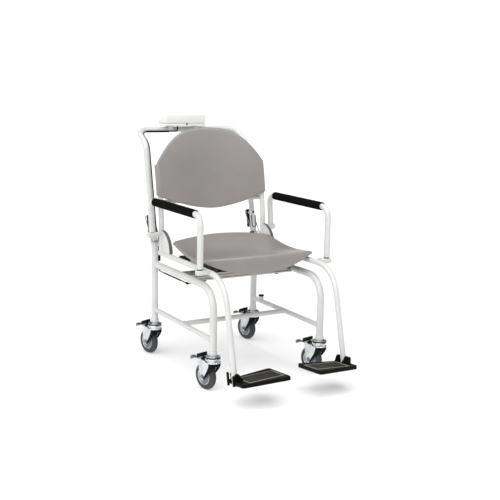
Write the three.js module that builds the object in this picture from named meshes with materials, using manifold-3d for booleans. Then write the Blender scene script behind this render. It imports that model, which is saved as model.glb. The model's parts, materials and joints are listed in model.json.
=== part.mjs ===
// Chair scale: a wheeled weighing chair for a seated patient.
// Millimetres, +Z up. The chair faces -Y, so +X is the patient's left.
// Sizes are counted from the floor, midway between the four legs. The finished chair is then moved
// fore and aft, so that its origin is on the floor below the middle of the whole.

import * as THREE from 'three';
import { mergeVertices } from 'three/addons/utils/BufferGeometryUtils.js';
import Module from 'manifold-3d';

const wasm = await Module();
wasm.setup();

// Shared clearances
const seatGap = 0.3;            // between two pieces that rest on or cut round each other
const runGap = 0.5;             // round a turning or sliding piece
const overrun = 2;              // how far a cutting tool runs past what it cuts

// Heights above the floor, each counted from the piece that carries it
const seatHeight = 493;         // the seat's front edge
const seatRailDrop = 38;        // seat to the seat rails' middle lines
const sideRailDrop = 57;        // seat rails to the side rails
const legBendRise = 63;         // side rails to where the rear legs start to lean back
const socketRise = 38;          // from there to the open upper end of a rear leg
const postBendRise = 139;       // seat rails to where the back posts start to lean back
const backSideRise = 100;       // from there to the backrest's lower corners
const armEndRise = 19;          // seat rails to the lower ends of the armrests' front legs
const armRise = 200;            // from there to the grips' middle lines
const armPivotRise = 80;        // seat rails to the armrests' pivots
const seatRailHeight = seatHeight - seatRailDrop;
const sideRailHeight = seatRailHeight - sideRailDrop;
const legBendHeight = sideRailHeight + legBendRise;
const socketHeight = legBendHeight + socketRise;
const postBendHeight = seatRailHeight + postBendRise;
const backSideLow = postBendHeight + backSideRise;
const armLegEnd = seatRailHeight + armEndRise;
const armHeight = armLegEnd + armRise;
const armPivotHeight = seatRailHeight + armPivotRise;

// Base frame: four legs, side rails, stretchers
const halfTrack = 243;          // middle plane to a side frame
const halfBase = 266;           // origin to the legs, fore and aft
const legBottom = 146;          // lower end of a leg above the floor
const legTube = 28;
const legWall = 1.5;
const sideBendRadius = 90;
const stretcherTube = 20;
const stretcherHeight = 201;
const legBendRadius = 60;

// Push handle, which stands in the rear legs
const handleTube = 24;
const handleWall = 1.5;
const handleInsert = 24;        // length inside the leg
const handleHeight = 950;
const handleBack = 450;         // handle bar behind the origin
const elbowHeight = 896;
const elbowDepth = 360;         // elbows behind the origin
const elbowRadius = 70;
const handleCornerRadius = 48;

// Beams and load cells between the base and the weighed frame
const baseBeamDepth = 76;
const baseBeamHeight = 28;
const baseBeamMiddle = -20;     // fore-aft place of the beams and the cells
const baseBeamWall = 3;
const cellLength = 150;
const cellFoot = 50;
const cellWidth = 34;
const cellHeight = 22;
const cellSpacer = 6;
const cellInset = 42;           // middle plane to a cell's inner end
const cellEyeRadius = 8;
const cellEyeSpacing = 12;
const seatBeamDepth = 110;
const seatBeamPlate = 5;

// Weighed frame: seat rails with footrest hangers, cross bar, back frame
const seatTube = 22;
const seatWall = 1.5;
const seatRailBack = 214;
const hangerCorner = -346;      // where the rail's and the hanger's middle lines cross
const hangerLean = 14;          // degrees forward from vertical
const hangerBendRadius = 130;
const hangerEnd = 72;
const crossBarDepth = 40;
const crossBarMiddle = -146;
const crossBarWall = 3;
const crossBarInset = 9;         // a seat rail's middle line to the bar's end
const crossBarEnd = halfTrack - crossBarInset;
const postBack = 200;
const postBendRadius = 120;
const postLean = 8;             // degrees
const postTopRise = 170;        // the posts' bend to their tops
const postTop = postBendHeight + postTopRise;
const backBarRise = 71;         // the posts' bend to the cross bar
const backBarHeight = postBendHeight + backBarRise;
const backBarTube = 18;
const backBarSetback = 15;      // the bar's middle line behind the posts'
const gussetDepth = 86;
const gussetHeight = 84;
const gussetThickness = 10;
const gussetSteps = 8;

// Seat pan
const seatRidge = -181;         // front edge of the flat of the seat
const seatRear = 133;
const seatHalfFront = 249;
const seatHalfRear = 222;
const seatSag = 10;
const seatDish = 6;
const seatRiseSide = 13;
const seatRiseMiddle = 45;
const seatCornerSetback = 13;
const seatPanWall = 5;
const seatRim = 12;
const seatRimRadius = 8;
const lipDrop = 67;
const lipBulge = 27;
const lipDropCorner = 7;
const lipBulgeCorner = 5;
const lipPower = 2.2;           // how squarely the lip fills the width
const seatRisePower = 3;

// Backrest
const backSideHeight = 122;     // height of its straight sides
const backChin = 62;            // how far its middle hangs below its lower corners
const backCrown = 150;          // how far its middle stands above its upper corners
const backSideHigh = backSideLow + backSideHeight;
const backMiddleLow = backSideLow - backChin;
const backMiddleHigh = backSideHigh + backCrown;
const backHollow = 24;
const backHollowLowShare = 0.35; // of the hollow, at the lower and upper edges
const backClear = 3;            // shell to the posts, where the shell starts to lean away from them
const backRoll = 32;              // how far its upper edge leans away from the posts' line
const backShoulderShare = 0.25;
const backShoulderPower = 3;
const backChinPower = 1.7;
const backRollPower = 2.2;
const backWall = 4;
const backRadius = 16;
const backFlange = 20;

// Armrests
const armSpan = 43;             // a seat rail's middle line to an armrest's
const armOut = halfTrack + armSpan;
const armTube = 24;
const armWall = 1.5;
const armFront = -235;
const armFrontRadius = 44;
const armRearRadius = 36;
const armRearBack = 217;
const pivotPin = 16;
const pivotBoss = 22;
const pivotHeadLength = 5;
const sleeveTube = 26;
const sleeveLength = 28;
const gripTube = 34;
const gripRear = 172;
const armCapFloor = 4;
const armCapRim = 1;
const armCapCup = 2;
const restBlockDepth = 30;
const restBlockHeight = 18;

// Footplates, in a frame whose origin is on the hinge pin
const plateInner = 64;
const plateOuterReach = 12;
const plateAheadDepth = 106.5;  // hinge pin to the front edge
const plateBehindDepth = 53.5;  // hinge pin to the rear edge
const plateTaper = 26;          // how much shorter the outer side is, front and rear alike
const plateThickness = 14;
const plateDrop = 16;           // hinge pin to the plate's upper face
const plateTilt = 5;            // degrees, toes up
const plateRise = 3;            // degrees, the inner side higher
const plateCorner = 14;
const matBorder = 13;
const matDepth = 3;
const matGrooves = 8;
const matRibWidth = 7;
const hingeHeight = 112;
const hingePin = 8;
const hingeRunGap = 1;          // between the plate and the hanger
const earGap = 34;              // between the two ears
const earThickness = 8;
const earRadius = 13;
const earFoot = 19;             // pin to the ear's inner end

// Casters
const wheelRadius = 54;
const wheelWidth = 26;
const treadWidth = 12;
const hubRadius = 30;
const hubBoss = 12;
const hubRecess = 4;
const rimBand = 3;
const axle = 10;
const axleHead = 16;
const axleHeadLength = 3;
const casterTrail = 40;
const casterRest = 13;          // degrees that every caster stands swivelled
const headRadius = 20;
const headHeight = 10;
const stemLength = 32;
const kingpin = 12;
const kingpinLength = 8;
const crownRadius = 30;
const crownHeight = 20;
const crownRim = 4;
const forkPlate = 3;
const forkGap = 3;
const forkEyeRadius = 15;
const forkRear = 64;            // kingpin to the rear edge of the fork
const forkRoofRear = 48;
const forkRearDrop = 11;        // the cheeks' rear edge reaches this far below the crown
const forkEar = 7;              // the cheeks stand this far above the pedal's pin
const guardGap = 3;
const guardEnd = 78;            // height of the guard's lower tip
const guardWall = 4;
const guardRear = 12;
const guardTopShare = 0.8;      // of the crown's radius
const guardSideShare = 0.85;
const pedalPivotBack = 57;
const pedalPivotHeight = 115;
const pedalBarrel = 5;
const pedalPin = 5;
const pedalWidth = 24;
const pedalReach = 122;
const pedalTipHeight = 104;
const pedalTipDepth = 12;
const pedalTipLength = 8;
const pedalPadFront = 47;       // the pad's side towards the leg
const pedalPadRear = 82;
const pedalPadHigh = 146;
const pedalPadLow = 132;
const pedalPadDepth = 13;
const pedalPlate = 4;
const shoeBack = 67;
const shoeHeight = 105;
const shoeWidth = 8;

// Clamps that hold the push handle in the legs; heights run along the leaning tube
const collarWall = 3;
const collarHeight = 14;
const collarLip = 4;
const hookReach = 7;
const hookHeight = 10;
const latchRise = 91;           // a leg's open end to the lever's pivot, along the leaning tube
const latchPivotOut = 30;       // behind the tube's middle line
const earBar = 10;
const earBarHalf = 4;
const leverWidth = 16;
const leverWall = 2.2;
const leverAbove = 16;
const leverBelow = 67;
const leverTaperLow = 34;       // the cheeks narrow between these, counted down from the pivot
const leverTaperHigh = 22;
const leverWeb = 4;
const leverWebOut = 4.7;        // pivot to the web
const leverCheek = 3;           // the cheeks reach this far in front of the pivot
const leverPin = 4;
const fingerTab = 6;
const bailWire = 3.5;
const bailWidth = 38;
const bailAbove = 12;           // lever pivot to bail pivot
const bailBend = 6;

// Display on the handle bar
const displayWidth = 195;
const displayDepth = 82;
const displayFrontHeight = 52;
const displayRearHeight = 21;
const displayOffset = -30;      // its middle is this far towards the patient's right
const displayFront = 410;
const displayFoot = 4;
const displayRound = 7;
const trayHeight = 10;
const lensWidth = 92;
const lensHeight = 34;
const lensThickness = 2;
const lensOffset = -26;
const lensUp = 14;
const keyWidth = 15;
const keyDepth = 10;
const keyHeight = 5;
const keyProud = 1.8;
const keyTravel = 1.2;
const keyPitch = 22;
const keyDown = 24;
const saddleWidth = 20;
const saddleSpacing = 124;
const saddleWall = 6;
const saddleWrap = 3;

// Signal cable and level
const cable = 4;
const cableExit = -60;
const cableEndBack = -15;
const cableEndOut = 212;
const cableRunDrop = 24;        // side rail to the cable's run below it
const cableBend = 10;
const cableSide = 30;           // degrees below the handle bar's front
const levelRadius = 12;
const levelThickness = 7;
const levelEdge = 1;
const levelSetbackDepth = 70;   // the rear legs' middle line to the level's
const levelBack = halfBase - levelSetbackDepth;
const levelPostHeight = 22;

// Facets
const tubeSides = 10;
const legSides = 12;            // the legs, and what stands in them or meets them
const boreSides = 8;
const wireSides = 6;
const bendStep = THREE.MathUtils.degToRad(22.5);
const wheelSides = 18;
const hexSides = 6;

const degrees = THREE.MathUtils.degToRad;
const white = { color: '#eceded', roughness: 0.35, metalness: 0 };
const finishes = {
  paint: white,
  shell: { color: '#8f8a86', roughness: 0.55, metalness: 0 },
  foam: { color: '#1a1a18', roughness: 0.9, metalness: 0 },
  black: { color: '#22211f', roughness: 0.6, metalness: 0 },
  chrome: { color: '#c9cbcd', roughness: 0.18, metalness: 1 },
  tyre: { color: '#4a4a4f', roughness: 0.8, metalness: 0 },
  alloy: { color: '#a9abad', roughness: 0.4, metalness: 1 },
  housing: { color: '#e9e9ea', roughness: 0.45, metalness: 0 },
  screen: { color: '#7d8a7c', roughness: 0.15, metalness: 0 },
  key: { color: '#6f7478', roughness: 0.6, metalness: 0 },
};

const chair = new THREE.Group();

function add(name, geometry, finish, parent = chair) {
  const mesh = new THREE.Mesh(geometry, new THREE.MeshStandardMaterial(finishes[finish]));
  mesh.name = name;
  parent.add(mesh);
  return mesh;
}

// Closed solids for cutting and joining
function toSolid(geometry) {
  const bare = geometry.clone();
  for (const key of Object.keys(bare.attributes)) {
    if (key !== 'position') bare.deleteAttribute(key);
  }
  const welded = mergeVertices(bare, 1e-4);
  return new wasm.Manifold(new wasm.Mesh({
    numProp: 3,
    vertProperties: new Float32Array(welded.attributes.position.array),
    triVerts: new Uint32Array(welded.index.array),
  }));
}

function toGeometry(solid) {
  const mesh = solid.getMesh();
  const geometry = new THREE.BufferGeometry();
  geometry.setAttribute('position', new THREE.BufferAttribute(new Float32Array(mesh.vertProperties), 3));
  geometry.setIndex(new THREE.BufferAttribute(new Uint32Array(mesh.triVerts), 1));
  return geometry;
}

function join(...geometries) {
  return toGeometry(geometries.map(toSolid).reduce((whole, next) => whole.add(next)));
}

function cut(geometry, ...tools) {
  return toGeometry(tools.map(toSolid).reduce((whole, tool) => whole.subtract(tool), toSolid(geometry)));
}

// Mirrors a geometry across the middle plane and keeps its faces outward
function mirrored(geometry) {
  const copy = geometry.index ? geometry.toNonIndexed() : geometry.clone();
  copy.scale(-1, 1, 1);
  const { array } = copy.attributes.position;
  for (let i = 0; i < array.length; i += 9) {
    for (let k = 0; k < 3; k += 1) {
      [array[i + 3 + k], array[i + 6 + k]] = [array[i + 6 + k], array[i + 3 + k]];
    }
  }
  return copy;
}

function pair(name, geometry, finish) {
  add(`${name}_left`, geometry, finish);
  add(`${name}_right`, mirrored(geometry), finish);
}

const at = (x, y, z) => new THREE.Vector3(x, y, z);

// A middle line of straight runs joined by arcs
class BentLine extends THREE.Curve {
  constructor(nodes) {
    super();
    this.nodes = nodes;
  }

  getPoint(t, target = new THREE.Vector3()) {
    const place = THREE.MathUtils.clamp(t, 0, 1) * (this.nodes.length - 1);
    const i = Math.min(Math.floor(place), this.nodes.length - 2);
    return target.lerpVectors(this.nodes[i], this.nodes[i + 1], place - i);
  }

  getPointAt(u, target) {
    return this.getPoint(u, target);
  }

  getTangentAt(u, target = new THREE.Vector3()) {
    const last = this.nodes.length - 1;
    const i = Math.round(THREE.MathUtils.clamp(u, 0, 1) * last);
    const before = this.nodes[Math.max(i - 1, 0)];
    const here = this.nodes[i];
    const after = this.nodes[Math.min(i + 1, last)];
    const out = target.set(0, 0, 0);
    if (i > 0) out.add(here.clone().sub(before).normalize());
    if (i < last) out.add(after.clone().sub(here).normalize());
    return out.normalize();
  }

  getTangent(t, target) {
    return this.getTangentAt(t, target);
  }
}

// Corner points and the bend radius at each inner corner become a bent line
function bentLine(corners, radii) {
  const nodes = [corners[0].clone()];
  for (let i = 1; i < corners.length - 1; i += 1) {
    const back = corners[i - 1].clone().sub(corners[i]).normalize();
    const on = corners[i + 1].clone().sub(corners[i]).normalize();
    const turn = Math.PI - back.angleTo(on);
    const reach = radii[i - 1] * Math.tan(turn / 2);
    const start = corners[i].clone().addScaledVector(back, reach);
    const toCentre = back.clone().add(on).normalize();
    const centre = corners[i].clone().addScaledVector(toCentre, radii[i - 1] / Math.cos(turn / 2));
    const arm = start.clone().sub(centre);
    const axis = back.clone().negate().cross(on).normalize();
    const steps = Math.max(2, Math.ceil(turn / bendStep));
    for (let k = 0; k <= steps; k += 1) {
      nodes.push(centre.clone().add(arm.clone().applyAxisAngle(axis, (turn * k) / steps)));
    }
  }
  nodes.push(corners[corners.length - 1].clone());
  return new BentLine(nodes);
}

function circlePoints(radius, sides) {
  return Array.from({ length: sides }, (_, i) => {
    const angle = ((i + 0.5) / sides) * 2 * Math.PI;
    return new THREE.Vector2(radius * Math.cos(angle), radius * Math.sin(angle));
  });
}

function sweep(line, radius, { wall = 0, sides = tubeSides, inner = boreSides } = {}) {
  const section = new THREE.Shape(circlePoints(radius, sides));
  if (wall > 0) section.holes.push(new THREE.Path(circlePoints(radius - wall, inner)));
  return new THREE.ExtrudeGeometry(section, { steps: line.nodes.length - 1, extrudePath: line });
}

const straight = (from, to) => new BentLine([from, to]);

function rod(from, to, radius, sides = tubeSides) {
  return sweep(straight(from, to), radius, { sides });
}

function box(low, high) {
  const size = high.clone().sub(low);
  const middle = low.clone().add(high).multiplyScalar(0.5);
  return new THREE.BoxGeometry(size.x, size.y, size.z).translate(middle.x, middle.y, middle.z);
}

// A plate outlined in the YZ plane, from x to x + thickness
function sidePlate(outline, x, thickness, holes = []) {
  const shape = new THREE.Shape(outline.map(([y, z]) => new THREE.Vector2(y, z)));
  for (const hole of holes) shape.holes.push(new THREE.Path(hole.map(([y, z]) => new THREE.Vector2(y, z))));
  const geometry = new THREE.ExtrudeGeometry(shape, { depth: thickness, bevelEnabled: false });
  geometry.applyMatrix4(new THREE.Matrix4().set(0, 0, 1, x, 1, 0, 0, 0, 0, 1, 0, 0, 0, 0, 0, 1));
  return geometry;
}

// A closed moulded shell: a grid of surface points, thickened against the outward normals
function mouldedShell(columns, rows, place, wall) {
  const face = [];
  for (let j = 0; j <= rows; j += 1) {
    for (let i = 0; i <= columns; i += 1) face.push(place(i, j));
  }
  const id = (i, j) => j * (columns + 1) + i;
  const pick = (i, j) => face[id(THREE.MathUtils.clamp(i, 0, columns), THREE.MathUtils.clamp(j, 0, rows))];
  const back = face.map((point, n) => {
    const i = n % (columns + 1);
    const j = (n - i) / (columns + 1);
    const across = pick(i + 1, j).clone().sub(pick(i - 1, j));
    const along = pick(i, j + 1).clone().sub(pick(i, j - 1));
    return point.clone().addScaledVector(across.cross(along).normalize(), -wall);
  });
  const count = face.length;
  const index = [];
  const quad = (a, b, c, d) => index.push(a, b, c, a, c, d);
  for (let j = 0; j < rows; j += 1) {
    for (let i = 0; i < columns; i += 1) {
      quad(id(i, j), id(i + 1, j), id(i + 1, j + 1), id(i, j + 1));
      quad(count + id(i, j), count + id(i, j + 1), count + id(i + 1, j + 1), count + id(i + 1, j));
    }
  }
  for (let i = 0; i < columns; i += 1) {
    quad(id(i, 0), count + id(i, 0), count + id(i + 1, 0), id(i + 1, 0));
    quad(id(i + 1, rows), count + id(i + 1, rows), count + id(i, rows), id(i, rows));
  }
  for (let j = 0; j < rows; j += 1) {
    quad(id(0, j + 1), count + id(0, j + 1), count + id(0, j), id(0, j));
    quad(id(columns, j), count + id(columns, j), count + id(columns, j + 1), id(columns, j + 1));
  }
  const geometry = new THREE.BufferGeometry();
  geometry.setAttribute('position', new THREE.Float32BufferAttribute(
    [...face, ...back].flatMap((point) => point.toArray()), 3));
  geometry.setIndex(index);
  return geometry;
}

// Directions and heights that several pieces share
const round = (radius, gap, sides = tubeSides) => (radius + gap) / Math.cos(Math.PI / sides);
const within = (radius, gap, sides = tubeSides) => radius * Math.cos(Math.PI / sides) - gap;
const railTop = seatRailHeight + seatTube / 2;
const handleLean = Math.atan2(elbowDepth - halfBase, elbowHeight - legBendHeight);
const postTilt = degrees(postLean);
const hangerTilt = degrees(hangerLean);
const leanAlong = (height) => at(halfTrack, halfBase + (height - legBendHeight) * Math.tan(handleLean), height);
const postAlong = (height) => at(halfTrack,
  postBack + Math.max(0, height - postBendHeight) * Math.tan(postTilt), height);
const hangerAlong = (height) => at(halfTrack,
  hangerCorner - (seatRailHeight - height) * Math.tan(hangerTilt), height);

function latheUp(points, sides = tubeSides) {
  const profile = points.map(([r, h]) => new THREE.Vector2(r, h));
  return new THREE.LatheGeometry(profile, sides, Math.PI / sides).rotateX(Math.PI / 2);
}

function latheAcross(points, sides) {
  const profile = points.map(([r, h]) => new THREE.Vector2(r, h));
  return new THREE.LatheGeometry(profile, sides, Math.PI / sides).rotateZ(-Math.PI / 2);
}

const rodAcross = (from, to, y, z, radius, sides = tubeSides) => rod(at(from, y, z), at(to, y, z), radius, sides);

function arcPoints(centre, radius, from, to, steps) {
  return Array.from({ length: steps + 1 }, (_, k) => {
    const angle = from + ((to - from) * k) / steps;
    return [centre[0] + radius * Math.cos(angle), centre[1] + radius * Math.sin(angle)];
  });
}

// Base frame: legs, side rails, stretchers, level and base beam
function baseFrame() {
  const legLine = bentLine(
    [at(halfTrack, halfBase, legBottom), at(halfTrack, halfBase, legBendHeight), leanAlong(socketHeight)],
    [legBendRadius]);
  const leg = { wall: legWall, sides: legSides, inner: legSides };
  pair('rear_leg', sweep(legLine, legTube / 2, leg), 'paint');

  const cope = legTube / 2 + seatGap;
  const rearLeg = rod(at(halfTrack, halfBase, legBottom), at(halfTrack, halfBase, legBendHeight), cope, legSides);
  const frontLeg = rod(at(halfTrack, -halfBase, legBottom),
    at(halfTrack, -halfBase, sideRailHeight - sideBendRadius), cope, legSides);
  const railLine = bentLine(
    [at(halfTrack, halfBase, sideRailHeight), at(halfTrack, -halfBase, sideRailHeight),
      at(halfTrack, -halfBase, legBottom)], [sideBendRadius]);
  pair('side_rail', cut(sweep(railLine, legTube / 2, leg), rearLeg), 'paint');

  const toOther = (geometry, side) => geometry.clone().translate((side - 1) * halfTrack, 0, 0);
  const runs = [-1, 1].map((side) => cut(
    rod(at(side * halfTrack, halfBase, stretcherHeight), at(side * halfTrack, -halfBase, stretcherHeight),
      stretcherTube / 2),
    toOther(rearLeg, side), toOther(frontLeg, side)));
  const crossRun = rodAcross(-halfTrack, halfTrack, 0, stretcherHeight, stretcherTube / 2);
  const postHigh = stretcherHeight + levelPostHeight;
  const levelPost = rod(at(halfTrack, levelBack, stretcherHeight), at(halfTrack, levelBack, postHigh),
    levelRadius - levelEdge);
  add('stretcher_frame', join(...runs, crossRun, levelPost), 'paint');
  const dome = [[0, 0], [levelRadius, 0], [levelRadius, levelThickness - 2 * levelEdge],
    [levelRadius - 2 * levelEdge, levelThickness], [0, levelThickness]];
  add('bubble_level', latheUp(dome).translate(halfTrack, levelBack, postHigh + seatGap), 'black');

  const low = sideRailHeight - baseBeamHeight / 2;
  const high = sideRailHeight + baseBeamHeight / 2;
  const front = baseBeamMiddle - baseBeamDepth / 2;
  const rear = baseBeamMiddle + baseBeamDepth / 2;
  const beam = cut(
    box(at(-halfTrack, front, low), at(halfTrack, rear, high)),
    box(at(-halfTrack - overrun, front + baseBeamWall, low + baseBeamWall),
      at(halfTrack + overrun, rear - baseBeamWall, high - baseBeamWall)),
    ...[-1, 1].map((side) => rod(at(side * halfTrack, rear + overrun, sideRailHeight),
      at(side * halfTrack, front - overrun, sideRailHeight), cope, legSides)));
  add('base_beam', beam, 'paint');
}

// Seat surface: u runs across from -1 to 1, s from the ridge to the rear edge
const seatHalf = (s) => THREE.MathUtils.lerp(seatHalfFront, seatHalfRear, s);
const seatAlong = (u, s) => seatRidge + (seatRear - seatCornerSetback * u * u - seatRidge) * s;

function seatTop(u, s) {
  const swing = Math.sin(Math.PI * Math.min(s, 1));
  const edge = seatHeight - seatSag * swing + seatRiseSide * s * s;
  const middle = seatHeight - (seatSag + seatDish) * swing + seatRiseMiddle * s ** seatRisePower;
  return middle + (edge - middle) * u * u;
}

// Lowest point of the pan's underside over a stretch of its depth, with its rims where a piece reaches them
function seatUnderside(front, rear, reach) {
  const shares = [0, 0.25, 0.5, 0.75, 1];
  const heights = shares.flatMap((share) => {
    const s = (THREE.MathUtils.lerp(front, rear, share) - seatRidge) / (seatRear - seatRidge);
    const pan = shares.map((u) => seatTop(u, s) - seatPanWall - seatGap);
    return reach > seatHalf(s) - seatPanWall - seatGap ? [...pan, seatTop(1, s) - seatRim] : pan;
  });
  return Math.min(...heights) - seatGap;
}

// Load cells and the two beams of the weighed frame
const cellBottom = sideRailHeight + baseBeamHeight / 2 + seatGap;
const seatBeamBottom = cellBottom + cellHeight + 2 * cellSpacer + seatGap;

function loadCell() {
  const half = cellWidth / 2;
  const place = (x0, x1, z0, z1) => box(at(x0, baseBeamMiddle - half, z0), at(x1, baseBeamMiddle + half, z1));
  const inner = cellInset;
  const outer = cellInset + cellLength;
  const foot = cellFoot;
  const block = join(
    place(inner, outer, cellBottom + cellSpacer, cellBottom + cellSpacer + cellHeight),
    place(inner, inner + foot, cellBottom, cellBottom + cellSpacer),
    place(outer - foot, outer, cellBottom + cellSpacer + cellHeight, cellBottom + 2 * cellSpacer + cellHeight));
  const middle = (inner + outer) / 2;
  const height = cellBottom + cellSpacer + cellHeight / 2;
  const eyes = [-1, 1].map((side) => rod(
    at(middle + side * cellEyeSpacing, baseBeamMiddle - half - overrun, height),
    at(middle + side * cellEyeSpacing, baseBeamMiddle + half + overrun, height), cellEyeRadius));
  return cut(block, ...eyes);
}

function weighing() {
  pair('load_cell', loadCell(), 'alloy');
  const railTools = (front, rear) => [-1, 1].map((side) => rod(
    at(side * halfTrack, front - overrun, seatRailHeight), at(side * halfTrack, rear + overrun, seatRailHeight),
    seatTube / 2 + seatGap));
  const front = baseBeamMiddle - seatBeamDepth / 2;
  const rear = baseBeamMiddle + seatBeamDepth / 2;
  const high = seatUnderside(front, rear, halfTrack);
  const channel = cut(
    box(at(-halfTrack, front, seatBeamBottom), at(halfTrack, rear, high)),
    box(at(-halfTrack - overrun, front + seatBeamPlate, seatBeamBottom + seatBeamPlate),
      at(halfTrack + overrun, rear - seatBeamPlate, high + overrun)),
    ...railTools(front, rear));
  add('seat_beam', channel, 'paint');

  const barFront = crossBarMiddle - crossBarDepth / 2;
  const barRear = crossBarMiddle + crossBarDepth / 2;
  const barHigh = seatUnderside(barFront, barRear, crossBarEnd);
  const barLow = railTop + seatGap;
  const bar = cut(
    box(at(-crossBarEnd, barFront, barLow), at(crossBarEnd, barRear, barHigh)),
    box(at(-crossBarEnd - overrun, barFront + crossBarWall, barLow + crossBarWall),
      at(crossBarEnd + overrun, barRear - crossBarWall, barHigh - crossBarWall)));
  add('seat_cross_bar', bar, 'black');
}

// Seat rails with footrest hangers, the armrests' rest blocks and the footplates' pins
const hingeAt = hangerAlong(hingeHeight);
const pinTilt = degrees(plateTilt);
const pinAlong = (distance) => at(hingeAt.x, hingeAt.y - distance * Math.cos(pinTilt),
  hingeAt.z + distance * Math.sin(pinTilt));
const armRestTop = armLegEnd - armCapFloor - seatGap - seatGap;

function seatRails() {
  const line = bentLine([at(halfTrack, seatRailBack, seatRailHeight), at(halfTrack, hangerCorner, seatRailHeight),
    hangerAlong(hangerEnd)], [hangerBendRadius]);
  const restBlock = box(
    at(halfTrack + seatTube / 2 - seatWall, armFront - restBlockDepth / 2, armRestTop - restBlockHeight),
    at(armOut + armTube / 2 + armCapRim, armFront + restBlockDepth / 2, armRestTop));
  const pinReach = earGap / 2 + earThickness + seatWall;
  const pin = rod(pinAlong(-pinReach), pinAlong(pinReach), hingePin / 2);
  pair('seat_rail', join(sweep(line, seatTube / 2, { wall: seatWall }), restBlock, pin), 'paint');
}

// Back frame with the armrests' pivots, and the gusset plates before its posts
const backBarAlong = postAlong(backBarHeight).y + backBarSetback;

function backFrame() {
  const bossEnd = armOut - sleeveLength / 2 - runGap;
  const headStart = armOut + sleeveLength / 2 + runGap;
  const halves = [-1, 1].map((side) => {
    const line = bentLine([at(halfTrack, postBack, seatRailHeight), postAlong(postBendHeight),
      postAlong(postTop)], [postBendRadius]);
    const post = join(
      cut(sweep(line, seatTube / 2, { wall: seatWall }),
        rod(at(halfTrack, postBack + seatTube, seatRailHeight), at(halfTrack, postBack - seatTube, seatRailHeight),
          seatTube / 2 + seatGap)),
      rodAcross(halfTrack, bossEnd, postBack, armPivotHeight, pivotBoss / 2),
      rodAcross(halfTrack, headStart + pivotHeadLength, postBack, armPivotHeight, pivotPin / 2),
      rodAcross(headStart, headStart + pivotHeadLength, postBack, armPivotHeight, pivotBoss / 2));
    return side > 0 ? post : mirrored(post);
  });
  const bar = rodAcross(-halfTrack, halfTrack, backBarAlong, backBarHeight, backBarTube / 2);
  add('back_frame', join(...halves, bar), 'paint');
}

function gussets() {
  const corner = [postBack - seatTube / 2, railTop];
  const edge = Array.from({ length: gussetSteps + 1 }, (_, k) => {
    const angle = (k / gussetSteps) * (Math.PI / 2);
    return [corner[0] - gussetDepth * Math.cos(angle), corner[1] + gussetHeight * Math.sin(angle)];
  });
  const outline = [[postBack, seatRailHeight], [corner[0] - gussetDepth, seatRailHeight], ...edge,
    [postBack, corner[1] + gussetHeight]];
  const plate = sidePlate(outline, halfTrack - gussetThickness / 2, gussetThickness);
  pair('gusset', cut(plate,
    rod(at(halfTrack, postBack + seatTube, seatRailHeight),
      at(halfTrack, corner[0] - gussetDepth - overrun, seatRailHeight), seatTube / 2 + seatGap),
    rod(at(halfTrack, postBack, seatRailHeight), at(halfTrack, postBack, postBendHeight),
      seatTube / 2 + seatGap),
    rodAcross(halfTrack, armOut, postBack, armPivotHeight, pivotBoss / 2 + seatGap)), 'paint');
}

// Seat pan: side rims turned down, a crescent lip in front
function seatShell() {
  const across = 8;
  const lipRows = 4;
  const panRows = 8;
  const corner = Math.PI / 4;
  const rimEdge = [[0, -seatRim], [0, -seatRimRadius],
    [seatRimRadius * (1 - Math.cos(corner)), -seatRimRadius * (1 - Math.sin(corner))]];
  const columns = across + 2 * rimEdge.length;
  const place = (i, j) => {
    const side = i < rimEdge.length ? -1 : 1;
    const rim = rimEdge[Math.min(i, columns - i)];
    const s = Math.max(0, j - lipRows) / panRows;
    const half = seatHalf(s);
    const share = rim ? side : ((i - rimEdge.length) / across) * 2 - 1;
    const x = rim ? side * (half - rim[0]) : share * (half - seatRimRadius);
    const u = x / half;
    const turn = (Math.min(j, lipRows) / lipRows) * (Math.PI / 2);
    const fade = Math.max(0, 1 - Math.abs(u) ** lipPower);
    const y = seatAlong(u, s) - (lipBulgeCorner + (lipBulge - lipBulgeCorner) * fade) * Math.cos(turn);
    const z = seatTop(u, s) - (lipDropCorner + (lipDrop - lipDropCorner) * fade) * (1 - Math.sin(turn));
    return at(x, y, z + (rim ? rim[1] : 0));
  };
  add('seat_shell', mouldedShell(columns, lipRows + panRows, place, seatPanWall), 'shell');
}

// Backrest: hollow towards the middle, its sides wrap round the posts
const backHalf = halfTrack + seatTube / 2 + 2 * seatGap + backWall;

function backShell() {
  const across = 12;
  const rows = 8;
  const arcSteps = 3;
  const edge = [[0, backFlange], ...Array.from({ length: arcSteps }, (_, k) => {
    const angle = (k / arcSteps) * (Math.PI / 2);
    return [backRadius * (1 - Math.cos(angle)), backRadius * (1 - Math.sin(angle))];
  })];
  const columns = across + 2 * edge.length;
  const flat = halfTrack - seatTube;
  const place = (i, j) => {
    const side = i < edge.length ? -1 : 1;
    const bend = edge[Math.min(i, columns - i)];
    const share = ((i - edge.length) / across) * 2 - 1;
    const x = bend ? side * (backHalf - bend[0]) : share * (backHalf - backRadius);
    const u = Math.abs(x) / backHalf;
    const low = backMiddleLow + (backSideLow - backMiddleLow) * u ** backChinPower;
    const arch = 1 - u ** backShoulderPower * (1 + backShoulderShare * (1 - u));
    const high = backSideHigh + (backMiddleHigh - backSideHigh) * arch;
    const v = j / rows;
    const z = low + (high - low) * v;
    const depth = backHollowLowShare + (1 - backHollowLowShare) * Math.sin(Math.PI * v);
    const hollow = backHollow * depth * 0.5 * (1 + Math.cos(Math.PI * Math.min(1, Math.abs(x) / flat)));
    const lean = Math.max(0, (z - backSideLow) / (backMiddleHigh - backSideLow)) ** backRollPower;
    const face = postAlong(z).y - seatTube / 2 - backClear - backWall + backRoll * lean;
    return at(x, face + hollow + (bend ? bend[1] : 0), z);
  };
  const bar = rodAcross(-halfTrack, halfTrack, backBarAlong, backBarHeight, backBarTube / 2 + seatGap);
  add('backrest_shell', cut(mouldedShell(columns, rows, place, backWall), bar), 'shell');
}

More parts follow.
